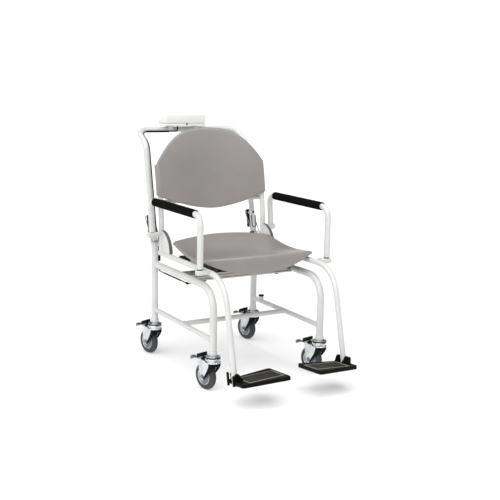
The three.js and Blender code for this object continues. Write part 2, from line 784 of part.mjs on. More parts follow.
// Armrests
function armrests() {
  const line = bentLine([at(armOut, armFront, armLegEnd), at(armOut, armFront, armHeight),
    at(armOut, armRearBack, armHeight), at(armOut, postBack, armPivotHeight)], [armFrontRadius, armRearRadius]);
  const across = [armOut - sleeveLength / 2, armOut + sleeveLength / 2];
  const tube = cut(
    join(sweep(line, armTube / 2, { wall: armWall }), rodAcross(...across, postBack, armPivotHeight, sleeveTube / 2)),
    rodAcross(across[0] - overrun, across[1] + overrun, postBack, armPivotHeight, round(pivotPin / 2, runGap / 2)));
  pair('armrest_tube', tube, 'paint');

  const bore = round(armTube / 2, seatGap);
  const grip = sweep(straight(at(armOut, armFront + armFrontRadius, armHeight), at(armOut, gripRear, armHeight)),
    gripTube / 2, { wall: gripTube / 2 - bore, inner: tubeSides });
  pair('armrest_grip', grip, 'foam');

  const floor = armRestTop + seatGap;
  const cup = [[0, floor], [bore + armCapRim, floor], [bore + armCapRim, floor + armCapFloor + armCapCup],
    [bore, floor + armCapFloor + armCapCup], [bore, floor + armCapFloor], [0, floor + armCapFloor]];
  pair('armrest_cap', latheUp(cup).translate(armOut, armFront, 0), 'black');
}

// Footplates
function footplates() {
  const clear = seatTube / 2 + hingeRunGap;
  const top = -plateDrop;
  const bottom = top - plateThickness;
  const inner = plateInner - halfTrack;
  const front = -plateAheadDepth;
  const rear = plateBehindDepth;
  const corners = [[inner, front], [plateOuterReach, front + plateTaper],
    [plateOuterReach, rear - plateTaper], [inner, rear]];
  const shape = new THREE.Shape();
  corners.forEach((corner, i) => {
    const here = new THREE.Vector2(...corner);
    const toPrevious = new THREE.Vector2(...corners[(i + 3) % 4]).sub(here).setLength(plateCorner).add(here);
    const toNext = new THREE.Vector2(...corners[(i + 1) % 4]).sub(here).setLength(plateCorner).add(here);
    if (i === 0) shape.moveTo(toPrevious.x, toPrevious.y);
    else shape.lineTo(toPrevious.x, toPrevious.y);
    shape.quadraticCurveTo(here.x, here.y, toNext.x, toNext.y);
  });
  const plate = new THREE.ExtrudeGeometry(shape, { depth: plateThickness, bevelEnabled: false, curveSegments: 4 })
    .translate(0, 0, bottom);
  const notch = box(at(-clear, -earGap / 2, bottom - overrun), at(plateOuterReach + overrun, earGap / 2, top + overrun));
  const matInner = inner + matBorder;
  const matOuter = -clear - matBorder;
  const matFront = front + plateTaper + matBorder;
  const pitch = (rear - plateTaper - matBorder - matFront + matRibWidth) / matGrooves;
  const grooves = Array.from({ length: matGrooves }, (_, k) => box(
    at(matInner, matFront + k * pitch, top - matDepth),
    at(matOuter, matFront + (k + 1) * pitch - matRibWidth, top + overrun)));
  const ears = [-1, 1].map((side) => {
    const outline = new THREE.Shape();
    outline.moveTo(-earFoot, bottom);
    outline.lineTo(earRadius, bottom);
    outline.lineTo(earRadius, 0);
    outline.absarc(0, 0, earRadius, 0, Math.PI, false);
    outline.lineTo(-earFoot, top);
    const ear = new THREE.ExtrudeGeometry(outline, { depth: earThickness, bevelEnabled: false, curveSegments: 6 });
    return ear.rotateX(Math.PI / 2).translate(0, (side * (earGap + earThickness) + earThickness) / 2, 0);
  });
  const hole = rod(at(0, -earGap - earThickness, 0), at(0, earGap + earThickness, 0), round(hingePin / 2, seatGap));
  const whole = cut(join(cut(plate, notch, ...grooves), ...ears), hole)
    .rotateY(degrees(plateRise)).rotateX(-pinTilt).translate(hingeAt.x, hingeAt.y, hingeAt.z);
  pair('footplate', whole, 'black');
}

// Casters, built round the kingpin with the wheel trailing towards +Y
const axleHeight = wheelRadius * Math.cos(Math.PI / wheelSides);
const headBottom = legBottom - seatGap - headHeight;
const crownTop = headBottom - runGap;
const crownBottom = crownTop - crownHeight;
const forkInner = wheelWidth / 2 + forkGap;
const forkOuter = forkInner + forkPlate;
const axleCentre = [casterTrail, axleHeight];

function casterHead() {
  const bore = round(kingpin / 2, runGap / 2);
  const mouth = headBottom + kingpinLength + runGap;
  const stem = within(legTube / 2 - legWall, seatGap);
  const high = legBottom - seatGap;
  return latheUp([[0, mouth], [bore, mouth], [bore, headBottom], [headRadius, headBottom], [headRadius, high],
    [stem, high], [stem, high + stemLength], [0, high + stemLength]]);
}

function casterFork() {
  const crown = latheUp([[0, crownBottom], [crownRadius, crownBottom], [crownRadius, crownBottom + crownRim],
    [headRadius, crownTop], [kingpin / 2, crownTop], [kingpin / 2, crownTop + kingpinLength],
    [0, crownTop + kingpinLength]]);
  const roof = box(at(-forkOuter, 0, crownBottom), at(forkOuter, forkRoofRear, crownBottom + forkPlate));
  const roofTop = crownBottom + forkPlate;
  const outline = [[-crownRadius / 2, roofTop], [forkRoofRear, roofTop], [forkRoofRear, pedalPivotHeight + forkEar],
    [forkRear - crownRim, pedalPivotHeight + forkEar], [forkRear, pedalPivotHeight], [forkRear, crownBottom - forkRearDrop],
    ...arcPoints(axleCentre, forkEyeRadius, 0, -Math.PI, 8),
    [-crownRadius / 2, crownBottom - crownRim]];
  const cheeks = [-forkOuter, forkInner].map((x) => sidePlate(outline, x, forkPlate));
  const bolt = rodAcross(-forkOuter, forkOuter, ...axleCentre, axle / 2, boreSides);
  const heads = [-1, 1].map((side) => rodAcross(side * (forkOuter + axleHeadLength), side * (forkOuter - seatGap),
    ...axleCentre, axleHead / 2, hexSides));
  const pin = rodAcross(-forkOuter, forkOuter, pedalPivotBack, pedalPivotHeight, pedalPin / 2, boreSides);
  return join(crown, roof, ...cheeks, bolt, ...heads, pin);
}

function casterGuard() {
  const reach = wheelRadius + guardGap;
  const high = crownBottom - seatGap;
  const start = Math.PI - Math.asin((guardEnd - axleHeight) / reach);
  const outline = [[guardRear, high], [-crownRadius * guardTopShare, high], [-crownRadius * guardSideShare, high - crownRadius],
    [axleCentre[0] + (reach + guardWall) * Math.cos(start), guardEnd],
    ...arcPoints(axleCentre, reach, start, Math.PI - Math.acos((axleCentre[0] - guardRear) / reach), 7)];
  const half = forkInner - seatGap;
  return sidePlate(outline, -half, 2 * half);
}

function casterWheel() {
  const half = wheelWidth / 2;
  const web = half - hubRecess;
  const side = [[round(axle / 2, runGap / 2), half], [hubBoss, half], [hubBoss + rimBand, web], [hubRadius, web],
    [hubRadius + rimBand, half], [wheelRadius - rimBand, half - rimBand / 2], [wheelRadius, treadWidth / 2]];
  const profile = [...side.map(([r, h]) => [r, -h]), ...side.reverse()];
  profile.push(profile[0]);
  return latheAcross(profile, wheelSides).translate(0, ...axleCentre);
}

function casterPedal() {
  const half = pedalWidth / 2;
  const neck = pedalPadLow - pedalPadDepth;
  const tip = pedalReach - pedalTipLength;
  const outline = [[pedalPivotBack - pedalBarrel / 2, pedalPivotHeight + pedalBarrel / 2],
    [pedalPadFront, pedalPadHigh - pedalPadDepth], [pedalPadFront, pedalPadHigh],
    [pedalPadRear, pedalPadLow], [pedalPadRear, neck],
    [tip, pedalTipHeight + pedalTipDepth - pedalPlate / 2], [tip, pedalTipHeight + pedalTipDepth],
    [pedalReach, pedalTipHeight + pedalTipDepth], [pedalReach, pedalTipHeight], [tip, pedalTipHeight],
    [tip, pedalTipHeight + pedalTipDepth / 2], [pedalPadRear, neck - pedalPlate],
    [pedalPivotBack + pedalBarrel / 2, pedalPivotHeight - pedalBarrel / 2]];
  const shoe = [[pedalPivotBack, pedalPivotHeight], [shoeBack + pedalBarrel, pedalPivotHeight + pedalBarrel],
    [shoeBack + pedalBarrel / 2, shoeHeight], [shoeBack - pedalBarrel / 2, shoeHeight]];
  const barrelEnd = forkInner - runGap;
  return cut(
    join(sidePlate(outline, -half, pedalWidth), sidePlate(shoe, -shoeWidth, 2 * shoeWidth),
      rodAcross(-barrelEnd, barrelEnd, pedalPivotBack, pedalPivotHeight, pedalBarrel)),
    rodAcross(-forkOuter, forkOuter, pedalPivotBack, pedalPivotHeight, round(pedalPin / 2, seatGap)));
}

function casters() {
  const pieces = [['head', casterHead(), 'chrome'], ['fork', casterFork(), 'chrome'],
    ['guard', casterGuard(), 'black'], ['wheel', casterWheel(), 'tyre'], ['pedal', casterPedal(), 'black']];
  for (const [end, y] of [['front', -halfBase], ['rear', halfBase]]) {
    for (const [side, x] of [['left', halfTrack], ['right', -halfTrack]]) {
      const caster = new THREE.Group();
      caster.position.set(x, y, 0);
      caster.rotation.z = degrees(casterRest);
      chair.add(caster);
      for (const [name, geometry, finish] of pieces) add(`${end}_${side}_${name}`, geometry, finish, caster);
    }
  }
}

// Latch pieces are built on an upright tube and then leant back with it
function leant(geometry) {
  return geometry.rotateX(-handleLean).translate(halfTrack, halfBase, legBendHeight);
}

const socketAlong = (socketHeight - legBendHeight) / Math.cos(handleLean);
const collarRadius = round(legTube / 2, seatGap) + collarWall;
const bailDown = [-(collarRadius + seatGap + bailWire / 2), socketAlong - collarHeight / 2];
const latchPivotHeight = socketAlong + latchRise;
const bailUp = [latchPivotOut, latchPivotHeight + bailAbove];

function handle() {
  const foot = (socketHeight - handleInsert - legBendHeight);
  const low = leanAlong(legBendHeight + foot);
  const line = bentLine([
    at(-low.x, low.y, low.z), at(-halfTrack, elbowDepth, elbowHeight), at(-halfTrack, handleBack, handleHeight),
    at(halfTrack, handleBack, handleHeight), at(halfTrack, elbowDepth, elbowHeight), low,
  ], [elbowRadius, handleCornerRadius, handleCornerRadius, elbowRadius]);
  const bar = sidePlate([[handleTube / 2 - handleWall, latchPivotHeight - earBarHalf],
    [latchPivotOut, latchPivotHeight - earBarHalf],
    ...arcPoints([latchPivotOut, latchPivotHeight], earBarHalf, -Math.PI / 3, Math.PI / 3, 3),
    [latchPivotOut, latchPivotHeight + earBarHalf],
    [handleTube / 2 - handleWall, latchPivotHeight + earBarHalf]], -earBar / 2, earBar);
  const hole = rodAcross(-earBar, earBar, latchPivotOut, latchPivotHeight, round(leverPin / 2, seatGap));
  const ear = leant(cut(bar, hole));
  add('push_handle', join(sweep(line, handleTube / 2, { wall: handleWall, sides: legSides }), ear, mirrored(ear)), 'paint');
}

function latches() {
  const bore = round(legTube / 2, seatGap);
  const neck = round(handleTube / 2, seatGap);
  const low = socketAlong - collarHeight;
  const ring = latheUp([[bore, low], [collarRadius, low], [collarRadius, socketAlong + collarLip],
    [neck, socketAlong + collarLip], [neck, socketAlong + seatGap], [bore, socketAlong + seatGap], [bore, low]]);
  const under = bailDown[1] + bailWire / 2 + seatGap;
  const hook = sidePlate([[-bore - seatGap, under], [-collarRadius, under], [-collarRadius - hookReach, under + hookReach / 2],
    [-collarRadius - hookReach, under + hookReach], [-bore - seatGap, under + hookHeight]],
  -leverWidth / 2, leverWidth);
  pair('latch_collar', leant(join(ring, hook)), 'paint');

  const half = leverWidth / 2;
  const [out, up] = [latchPivotOut, latchPivotHeight];
  const back = out + leverWebOut + leverWeb;
  const outline = [[out - leverCheek, up + leverAbove - leverCheek], [out, up + leverAbove], [back, up + leverAbove],
    [back, up - leverBelow], [out + leverWebOut, up - leverBelow], [out + leverCheek, up - leverTaperLow],
    [out - leverCheek, up - leverTaperHigh]];
  const slot = box(at(-half + leverWall, out - leverAbove, up - leverBelow - overrun),
    at(half - leverWall, out + leverWebOut, up + leverAbove + overrun));
  const lever = cut(
    join(cut(sidePlate(outline, -half, leverWidth), slot),
      rodAcross(-half, half, out + leverWebOut, up - leverBelow + fingerTab, fingerTab),
      rodAcross(-half, half, out, up, leverPin / 2)),
    rodAcross(-half - overrun, half + overrun, ...bailUp, round(bailWire / 2, seatGap)));
  pair('latch_lever', leant(lever), 'black');

  const reach = bailWidth / 2;
  const tip = half - leverWall + seatGap;
  const wire = bentLine([at(tip, ...bailUp), at(reach, ...bailUp), at(reach, ...bailDown), at(-reach, ...bailDown),
    at(-reach, ...bailUp), at(-tip, ...bailUp)], [bailBend, bailBend, bailBend, bailBend]);
  pair('latch_bail', leant(sweep(wire, bailWire / 2, { sides: wireSides })), 'chrome');
}

// Display: a tray clipped to the handle bar, and a wedge cover that slopes down to the attendant
function display() {
  const low = handleHeight + handleTube / 2 + displayFoot;
  const rear = displayFront + displayDepth;
  const left = displayOffset - displayWidth / 2;
  const bar = rodAcross(left - overrun, left + displayWidth + overrun, handleBack, handleHeight,
    handleTube / 2 + seatGap, legSides);
  const saddles = [-1, 1].map((side) => {
    const x = displayOffset + (side * saddleSpacing) / 2;
    const reach = handleTube / 2 + saddleWall;
    return box(at(x - saddleWidth / 2, handleBack - reach, handleHeight - saddleWrap),
      at(x + saddleWidth / 2, handleBack + reach, low + displayFoot));
  });
  const tray = box(at(left, displayFront, low), at(left + displayWidth, rear, low + trayHeight));
  add('display_tray', cut(join(tray, ...saddles), bar), 'housing');

  const bottom = low + trayHeight + seatGap;
  const frontTop = low + displayFrontHeight;
  const rearTop = low + displayRearHeight;
  const slope = Math.atan2(frontTop - rearTop, displayDepth);
  const outline = [[displayFront, bottom], [rear, bottom],
    ...arcPoints([rear - displayRound, rearTop - displayRound / 2], displayRound, 0, Math.PI / 2 - slope, 4),
    ...arcPoints([displayFront + displayRound, frontTop - displayRound], displayRound, Math.PI / 2 - slope,
      Math.PI, 5)];
  const cover = sidePlate(outline, left, displayWidth);
  const rearArc = arcPoints([rear - displayRound, rearTop - displayRound / 2], displayRound, Math.PI / 2 - slope, 0, 1)[0];
  const frontArc = arcPoints([displayFront + displayRound, frontTop - displayRound], displayRound,
    Math.PI / 2 - slope, 0, 1)[0];
  const middle = [(rearArc[0] + frontArc[0]) / 2, (rearArc[1] + frontArc[1]) / 2];
  const onSlope = (x, down, width, depth, from, to) => box(
    at(x - width / 2, down - depth / 2, from), at(x + width / 2, down + depth / 2, to))
    .rotateX(-slope).translate(displayOffset, ...middle);
  const lens = (gap, top, base) => onSlope(lensOffset, -lensUp, lensWidth + gap, lensHeight + gap, base, top);
  const keyPlaces = [-1, 0, 1].map((k) => k * keyPitch);
  const deep = keyHeight - keyProud;
  const pockets = keyPlaces.map((x) => onSlope(x, keyDown, keyWidth + 2 * seatGap, keyDepth + 2 * seatGap,
    -deep - keyTravel - seatGap, overrun));
  add('display_cover', cut(cover, lens(2 * seatGap, overrun, -lensThickness - seatGap), ...pockets), 'housing');
  add('display_lens', lens(0, 0, -lensThickness), 'screen');
  keyPlaces.forEach((x, i) => {
    add(`display_key_${i + 1}`, onSlope(x, keyDown, keyWidth, keyDepth, -deep, keyProud), 'key');
  });
}

const cableDrop = sideRailHeight - cableRunDrop;

// Signal cable, clipped inside the handle and the patient's right leg, from the display to the base beam
function signalCable() {
  const half = cable / 2;
  const onHandle = handleTube / 2 + half + seatGap;
  const onLeg = legTube / 2 + half + seatGap;
  const onCollar = collarRadius + half + seatGap;
  const barBack = handleBack - onHandle * Math.cos(degrees(cableSide));
  const barHeight = handleHeight - onHandle * Math.sin(degrees(cableSide));
  const beside = (point, offset) => at(-point.x + offset, point.y, point.z);
  const collarLow = socketHeight - collarHeight - cableBend;
  const collarHigh = socketHeight + collarLip + cableBend;
  const line = bentLine([
    at(cableExit, handleBack - onHandle - half, handleHeight + handleTube / 2 + displayFoot - seatGap),
    at(cableExit, handleBack - onHandle - half, barHeight),
    at(cableExit - 3 * cableBend, barBack, barHeight),
    at(-halfTrack + onHandle, barBack, barHeight),
    at(-halfTrack + onHandle, elbowDepth - cable, elbowHeight),
    beside(leanAlong(collarHigh + cableBend), onHandle),
    beside(leanAlong(collarHigh), onCollar),
    beside(leanAlong(collarLow), onCollar),
    at(-halfTrack + onLeg, halfBase, collarLow - cableBend),
    at(-halfTrack + onLeg, halfBase, cableDrop),
    at(-halfTrack + onLeg, cableEndBack, cableDrop),
    at(-cableEndOut, cableEndBack, cableDrop),
    at(-cableEndOut, cableEndBack, sideRailHeight - baseBeamHeight / 2 - seatGap),
  ], [cableBend, cableBend, handleCornerRadius - onHandle, elbowRadius, cableBend, cableBend, cableBend, cableBend,
    cableBend * 2, cableBend / 2, cableBend / 2]);
  add('display_cable', sweep(line, half, { sides: wireSides }), 'black');
}

baseFrame();
weighing();
seatRails();
backFrame();
gussets();
seatShell();
backShell();
armrests();
footplates();
casters();
handle();
latches();
display();
signalCable();

const middle = new THREE.Box3().setFromObject(chair, true).getCenter(at(0, 0, 0));
for (const piece of chair.children) piece.position.y -= middle.y;

export default chair;
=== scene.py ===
"""Wheeled chair scale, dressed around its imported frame.

Sizes in the dataclasses are millimetres. They are counted, like the part's own, from the floor
midway between the four legs: +Z up, -Y the way the seated person faces, +X their left. A piece
that comes on both sides is drawn on the left and mirrored.
"""
from __future__ import annotations

import json
import logging
import math
from contextlib import contextmanager
from dataclasses import dataclass, field
from enum import Enum
from typing import Callable, Iterator, Sequence

import bmesh
import bpy
from bmesh.types import BMEdge, BMesh, BMVert
from mathutils import Matrix, Vector

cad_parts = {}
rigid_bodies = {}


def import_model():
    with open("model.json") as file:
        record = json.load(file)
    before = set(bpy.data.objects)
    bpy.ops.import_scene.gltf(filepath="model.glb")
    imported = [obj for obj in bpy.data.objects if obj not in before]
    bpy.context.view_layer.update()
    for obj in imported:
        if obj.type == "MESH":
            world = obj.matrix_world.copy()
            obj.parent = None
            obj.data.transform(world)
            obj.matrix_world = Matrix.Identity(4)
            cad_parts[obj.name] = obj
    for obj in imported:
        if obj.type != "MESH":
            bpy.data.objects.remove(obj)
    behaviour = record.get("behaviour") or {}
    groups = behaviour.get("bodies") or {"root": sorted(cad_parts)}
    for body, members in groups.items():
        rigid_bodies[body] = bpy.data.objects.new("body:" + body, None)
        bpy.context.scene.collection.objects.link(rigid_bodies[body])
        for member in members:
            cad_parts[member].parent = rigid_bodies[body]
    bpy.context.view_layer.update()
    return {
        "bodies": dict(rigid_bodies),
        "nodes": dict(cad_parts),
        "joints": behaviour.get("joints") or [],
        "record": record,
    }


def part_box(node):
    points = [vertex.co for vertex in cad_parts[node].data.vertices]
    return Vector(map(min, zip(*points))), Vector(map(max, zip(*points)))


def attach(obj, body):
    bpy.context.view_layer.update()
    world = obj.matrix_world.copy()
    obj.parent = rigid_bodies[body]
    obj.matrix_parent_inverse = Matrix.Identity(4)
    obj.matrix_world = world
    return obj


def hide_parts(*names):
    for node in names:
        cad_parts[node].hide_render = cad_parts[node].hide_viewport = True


LOG = logging.getLogger("chair_scale")
MILLIMETRE = 0.001
QUARTER = math.pi / 2
FULL_TURN = 2 * math.pi
BEND_STEP = math.radians(7)
TUBE_SIDES = 32
MERGE = 1e-4
SIDES = (("left", 1), ("right", -1))
ALONG_X = Vector((1, 0, 0))
ALONG_Y = Vector((0, 1, 0))

Pair = tuple[float, float]
Triple = tuple[float, float, float]
Draw = Callable[[BMesh], None]


def linear(colour: str) -> tuple[float, float, float, float]:
    """Turns an sRGB hex colour into linear values.

    Args:
        colour: Six hex digits after a hash.

    Returns:
        Red, green, blue and an alpha of one.
    """
    parts = [int(colour[i:i + 2], 16) / 255 for i in (1, 3, 5)]
    red, green, blue = (p / 12.92 if p <= 0.04045 else ((p + 0.055) / 1.055) ** 2.4 for p in parts)
    return red, green, blue, 1.0


def add_node(
    tree: bpy.types.NodeTree,
    kind: str,
    settings: dict[str, object] | None = None,
    values: dict[str | int, object] | None = None,
    links: dict[str | int, bpy.types.NodeSocket] | None = None,
) -> bpy.types.Node:
    """Adds a node with its settings, socket values and incoming links.

    Args:
        tree: The tree that gets the node.
        kind: The node's type name.
        settings: Properties of the node itself.
        values: Default values by input socket.
        links: Output sockets by the input that they feed.

    Returns:
        The new node.
    """
    node = tree.nodes.new(kind)
    for name, value in (settings or {}).items():
        setattr(node, name, value)
    for socket, value in (values or {}).items():
        node.inputs[socket].default_value = value
    for socket, source in (links or {}).items():
        tree.links.new(source, node.inputs[socket])
    return node


def empty_tree(owner: bpy.types.Material | bpy.types.World) -> bpy.types.NodeTree:
    """Returns the node tree of a material or a world, with nothing in it."""
    owner.use_nodes = True
    owner.node_tree.nodes.clear()
    return owner.node_tree


class Grain(Enum):
    """How a surface was made, which sets its fine relief."""

    PEBBLED = "pebbled"
    PEEL = "peel"
    PORES = "pores"
    PLATED = "plated"


@dataclass(frozen=True)
class Finish:
    """One real material: its colours, its gloss and its relief, with scales in millimetres."""

    name: str
    slot: str
    colour: str
    drift: str
    roughness: float
    grain: Grain
    grain_size: float
    grain_depth: float
    metallic: float = 0.0
    drift_size: float = 90.0
    rough_range: float = 0.08
    coat: float = 0.0
    specular: float = 0.5

    def material(self) -> bpy.types.Material:
        """Returns the material, made once."""
        known = bpy.data.materials.get(self.name)
        if known:
            return known
        made = bpy.data.materials.new(self.name)
        tree = empty_tree(made)
        place = add_node(tree, "ShaderNodeTexCoord").outputs["Object"]
        patches = add_node(tree, "ShaderNodeTexNoise", links={"Vector": place}, values={
            "Scale": 1 / (self.drift_size * MILLIMETRE), "Detail": 3.0, "Roughness": 0.55})
        spread = add_node(tree, "ShaderNodeMapRange", values={"From Min": 0.32, "From Max": 0.68},
                          links={"Value": patches.outputs["Fac"]})
        colour = add_node(tree, "ShaderNodeMix", settings={"data_type": "RGBA"}, values={
            6: linear(self.colour), 7: linear(self.drift)}, links={0: spread.outputs["Result"]})
        fine = self._relief(tree, place)
        gloss = add_node(tree, "ShaderNodeMapRange", values={
            "To Min": max(0.02, self.roughness - self.rough_range / 2),
            "To Max": min(1.0, self.roughness + self.rough_range / 2)}, links={"Value": fine})
        bump = add_node(tree, "ShaderNodeBump", values={
            "Strength": 1.0, "Distance": self.grain_depth * MILLIMETRE}, links={"Height": fine})
        shader = add_node(tree, "ShaderNodeBsdfPrincipled", values={
            "Metallic": self.metallic, "Coat Weight": self.coat, "Coat Roughness": 0.15,
            "Specular IOR Level": self.specular},
            links={"Base Color": colour.outputs[2], "Roughness": gloss.outputs["Result"],
                   "Normal": bump.outputs["Normal"]})
        add_node(tree, "ShaderNodeOutputMaterial", links={"Surface": shader.outputs["BSDF"]})
        made.diffuse_color = linear(self.colour)
        return made

    def _relief(self, tree: bpy.types.NodeTree, place: bpy.types.NodeSocket) -> bpy.types.NodeSocket:
        """Adds the pattern of the surface's fine relief.

        Args:
            tree: The material's tree.
            place: The coordinates that the pattern follows.

        Returns:
            The pattern's height, from zero to one.
        """
        scale = 1 / (self.grain_size * MILLIMETRE)
        if self.grain in (Grain.PEBBLED, Grain.PORES):
            cells = add_node(tree, "ShaderNodeTexVoronoi", settings={"feature": "SMOOTH_F1"}, values={
                "Scale": scale, "Smoothness": 0.6, "Randomness": 1.0}, links={"Vector": place})
            return cells.outputs["Distance"]
        detail = 2.0 if self.grain is Grain.PEEL else 5.0
        waves = add_node(tree, "ShaderNodeTexNoise", values={"Scale": scale, "Detail": detail},
                         links={"Vector": place})
        return waves.outputs["Fac"]


# Polyester powder coat on steel: white and satin, with a slight orange peel
POWDER = Finish("powder_coat_white", "white_paint", "#c9cac8", "#c3c4c2", 0.28, Grain.PEEL, 3.0, 0.02)
# Moulded polypropylene, warm grey, with a fine pebbled grain drawn coarse enough to show
SHELL = Finish("moulded_grey_shell", "grey_shell", "#888481", "#827e7c", 0.29, Grain.PEBBLED, 2.2, 0.015,
               drift_size=160, rough_range=0.12)
# Closed-cell foam rubber: open pores, no gloss
FOAM = Finish("foam_rubber_black", "foam", "#0a0a09", "#100f0e", 0.95, Grain.PORES, 1.6, 0.1, specular=0.05)
# Moulded polyamide, black and matt
BLACK = Finish("moulded_black", "black_plastic", "#0b0a0a", "#11100f", 0.5, Grain.PEBBLED, 1.8, 0.03,
               specular=0.07)
# Zinc plate under a clear passivate: bright, with faint clouding
PLATE = Finish("zinc_plated_steel", "chrome", "#dcdee0", "#c6c9cc", 0.24, Grain.PLATED, 14.0, 0.01,
               metallic=1.0, drift_size=30)
# Steel under a duller, darker zinc: wires, nuts and pedal levers
STEEL = Finish("dull_zinc_steel", "chrome", "#8b8d90", "#797b7e", 0.3, Grain.PLATED, 12.0, 0.01,
               metallic=1.0, drift_size=25)
# Thermoplastic rubber tyre, dark grey
TYRE = Finish("tyre_rubber_grey", "tyre", "#343437", "#2d2d30", 0.62, Grain.PEBBLED, 1.5, 0.03)
# Moulded polypropylene wheel centre, mid grey
HUB = Finish("wheel_centre_grey", "tyre", "#86888b", "#7c7e81", 0.45, Grain.PEBBLED, 2.0, 0.02)
# Extruded aluminium with a dull grey anodic coat
EXTRUSION = Finish("anodised_extrusion_grey", "alloy", "#b3b0ac", "#a6a39f", 0.4, Grain.PLATED, 3.0, 0.02,
                   metallic=1.0)
# Load cells and cross bar: aluminium under a dark anodic coat, its dark grey partly painted shade from under
# the seat
DARK_ANODISE_AND_SHADE = Finish("dark_anodise_and_painted_shade", "alloy", "#403f3f", "#383737", 0.45, Grain.PLATED, 2.5, 0.02, metallic=1.0)
# A mid-grey strip on the round edge of each gusset plate: painted shade of that edge
EDGE_SHADE = Finish("gusset_edge_painted_shade", "black_plastic", "#5c5c5e", "#525254", 0.6, Grain.PEBBLED, 1.8, 0.02,
                specular=0.3)
# Moulded ABS, off-white, spark-eroded grain
HOUSING = Finish("moulded_offwhite", "housing", "#e4e4e3", "#dfdfde", 0.42, Grain.PEBBLED, 1.6, 0.02)
# Liquid crystal behind a clear acrylic window: grey-green and glossy
SCREEN = Finish("display_window", "window", "#76827a", "#6f7b73", 0.12, Grain.PLATED, 40.0, 0.002, coat=0.6)
# Silicone keys
KEY = Finish("silicone_key_grey", "key", "#6d7276", "#666b6f", 0.62, Grain.PEBBLED, 1.2, 0.02)
# PVC sheath of the signal cable
SHEATH = Finish("pvc_sheath_black", "cable", "#0d0d0c", "#131312", 0.45, Grain.PEEL, 2.0, 0.01, specular=0.16)
# Ribbed rubber mat of the footplates
MAT = Finish("ribbed_mat_black", "black_plastic", "#33312e", "#3b3935", 0.6, Grain.PEBBLED, 1.5, 0.03,
             specular=0.2)
# The raised line round the mat, a paler grey
PALE_LINE = Finish("pale_line_grey", "black_plastic", "#8b8a80", "#7c7b72", 0.55, Grain.PEBBLED, 1.5, 0.03,
              specular=0.3)


def placing(place: Sequence[float], axis: str = "Z", angle: float = 0.0) -> Matrix:
    """Returns the matrix that turns a form about an axis and moves it to a place."""
    return Matrix.Translation(place) @ Matrix.Rotation(angle, 4, axis)


def aimed(place: Sequence[float], direction: Vector, front: str = "Z") -> Matrix:
    """Returns the matrix that turns a form's front to a direction and moves it to a place."""
    return Matrix.Translation(place) @ direction.to_track_quat(front, "Y").to_matrix().to_4x4()


def arc(centre: Pair, radius: float, start: float, end: float, steps: int) -> list[Pair]:
    """Returns points on an arc in a plane, with its angles in radians."""
    return [(centre[0] + radius * math.cos(start + (end - start) * n / steps),
             centre[1] + radius * math.sin(start + (end - start) * n / steps)) for n in range(steps + 1)]


def new_verts(made: dict[str, list]) -> list[BMVert]:
    """Returns the vertices that an extrusion made."""
    return [item for item in made["geom"] if isinstance(item, BMVert)]


def rod(
    bm: BMesh,
    start: Sequence[float],
    end: Sequence[float],
    radius: float,
    sides: int = 24,
    taper: float = 1.0,
) -> None:
    """Adds a closed rod.

    Args:
        bm: The mesh that gets it.
        start: Middle of the first end.
        end: Middle of the other end.
        radius: Radius at the first end.
        sides: Number of sides.
        taper: Radius at the other end over the first.
    """
    run = Vector(end) - Vector(start)
    bmesh.ops.create_cone(bm, cap_ends=True, segments=sides, radius1=radius, radius2=radius * taper,
                          depth=run.length, matrix=aimed(Vector(start) + run / 2, run))


def block(bm: BMesh, low: Sequence[float], high: Sequence[float]) -> None:
    """Adds a block between two corners."""
    size = Vector(high) - Vector(low)
    middle = Matrix.Translation(Vector(low) + size / 2)
    bmesh.ops.create_cube(bm, size=1.0, matrix=middle @ Matrix.Diagonal((*size, 1.0)))


def plate(bm: BMesh, outline: Sequence[Pair], low: float, high: float, axis: int = 0) -> None:
    """Adds a plate with a given outline.

    Args:
        bm: The mesh that gets it.
        outline: The corners in order, by the two coordinates other than the axis.
        low: Where the plate starts along the axis.
        high: Where it ends.
        axis: The axis that the outline lies across: 0 is X, 1 is Y and 2 is Z.
    """
    face = bm.faces.new([bm.verts.new((*point[:axis], low, *point[axis:])) for point in outline])
    made = bmesh.ops.extrude_face_region(bm, geom=[face])
    shift = Vector()
    shift[axis] = high - low
    bmesh.ops.translate(bm, vec=shift, verts=new_verts(made))


def turned(bm: BMesh, profile: Sequence[Pair], matrix: Matrix = Matrix(), sides: int = 40) -> None:
    """Adds a turned form from its profile.

    Args:
        bm: The mesh that gets it.
        profile: Radius and height of each point.
        matrix: Places the form, whose own axis is Z.
        sides: Number of steps of the full turn.
    """
    verts = [bm.verts.new(matrix @ Vector((radius, 0, height))) for radius, height in profile]
    edges = [bm.edges.new(ends) for ends in zip(verts, verts[1:])]
    axis = matrix.to_3x3() @ Vector((0, 0, 1))
    bmesh.ops.spin(bm, geom=[*verts, *edges], cent=matrix.to_translation(), axis=axis, dvec=(0, 0, 0),
                   angle=FULL_TURN, steps=sides, use_merge=True, use_duplicate=False)


def extend(bm: BMesh, loop: list[BMEdge], shift: Vector) -> list[BMEdge]:
    """Extrudes a loop of edges along a straight run and returns the new loop."""
    if shift.length < 1e-6:
        return loop
    made = bmesh.ops.extrude_edge_only(bm, edges=loop)
    bmesh.ops.translate(bm, vec=shift, verts=new_verts(made))
    return [item for item in made["geom"] if isinstance(item, BMEdge) and len(item.link_faces) == 1]


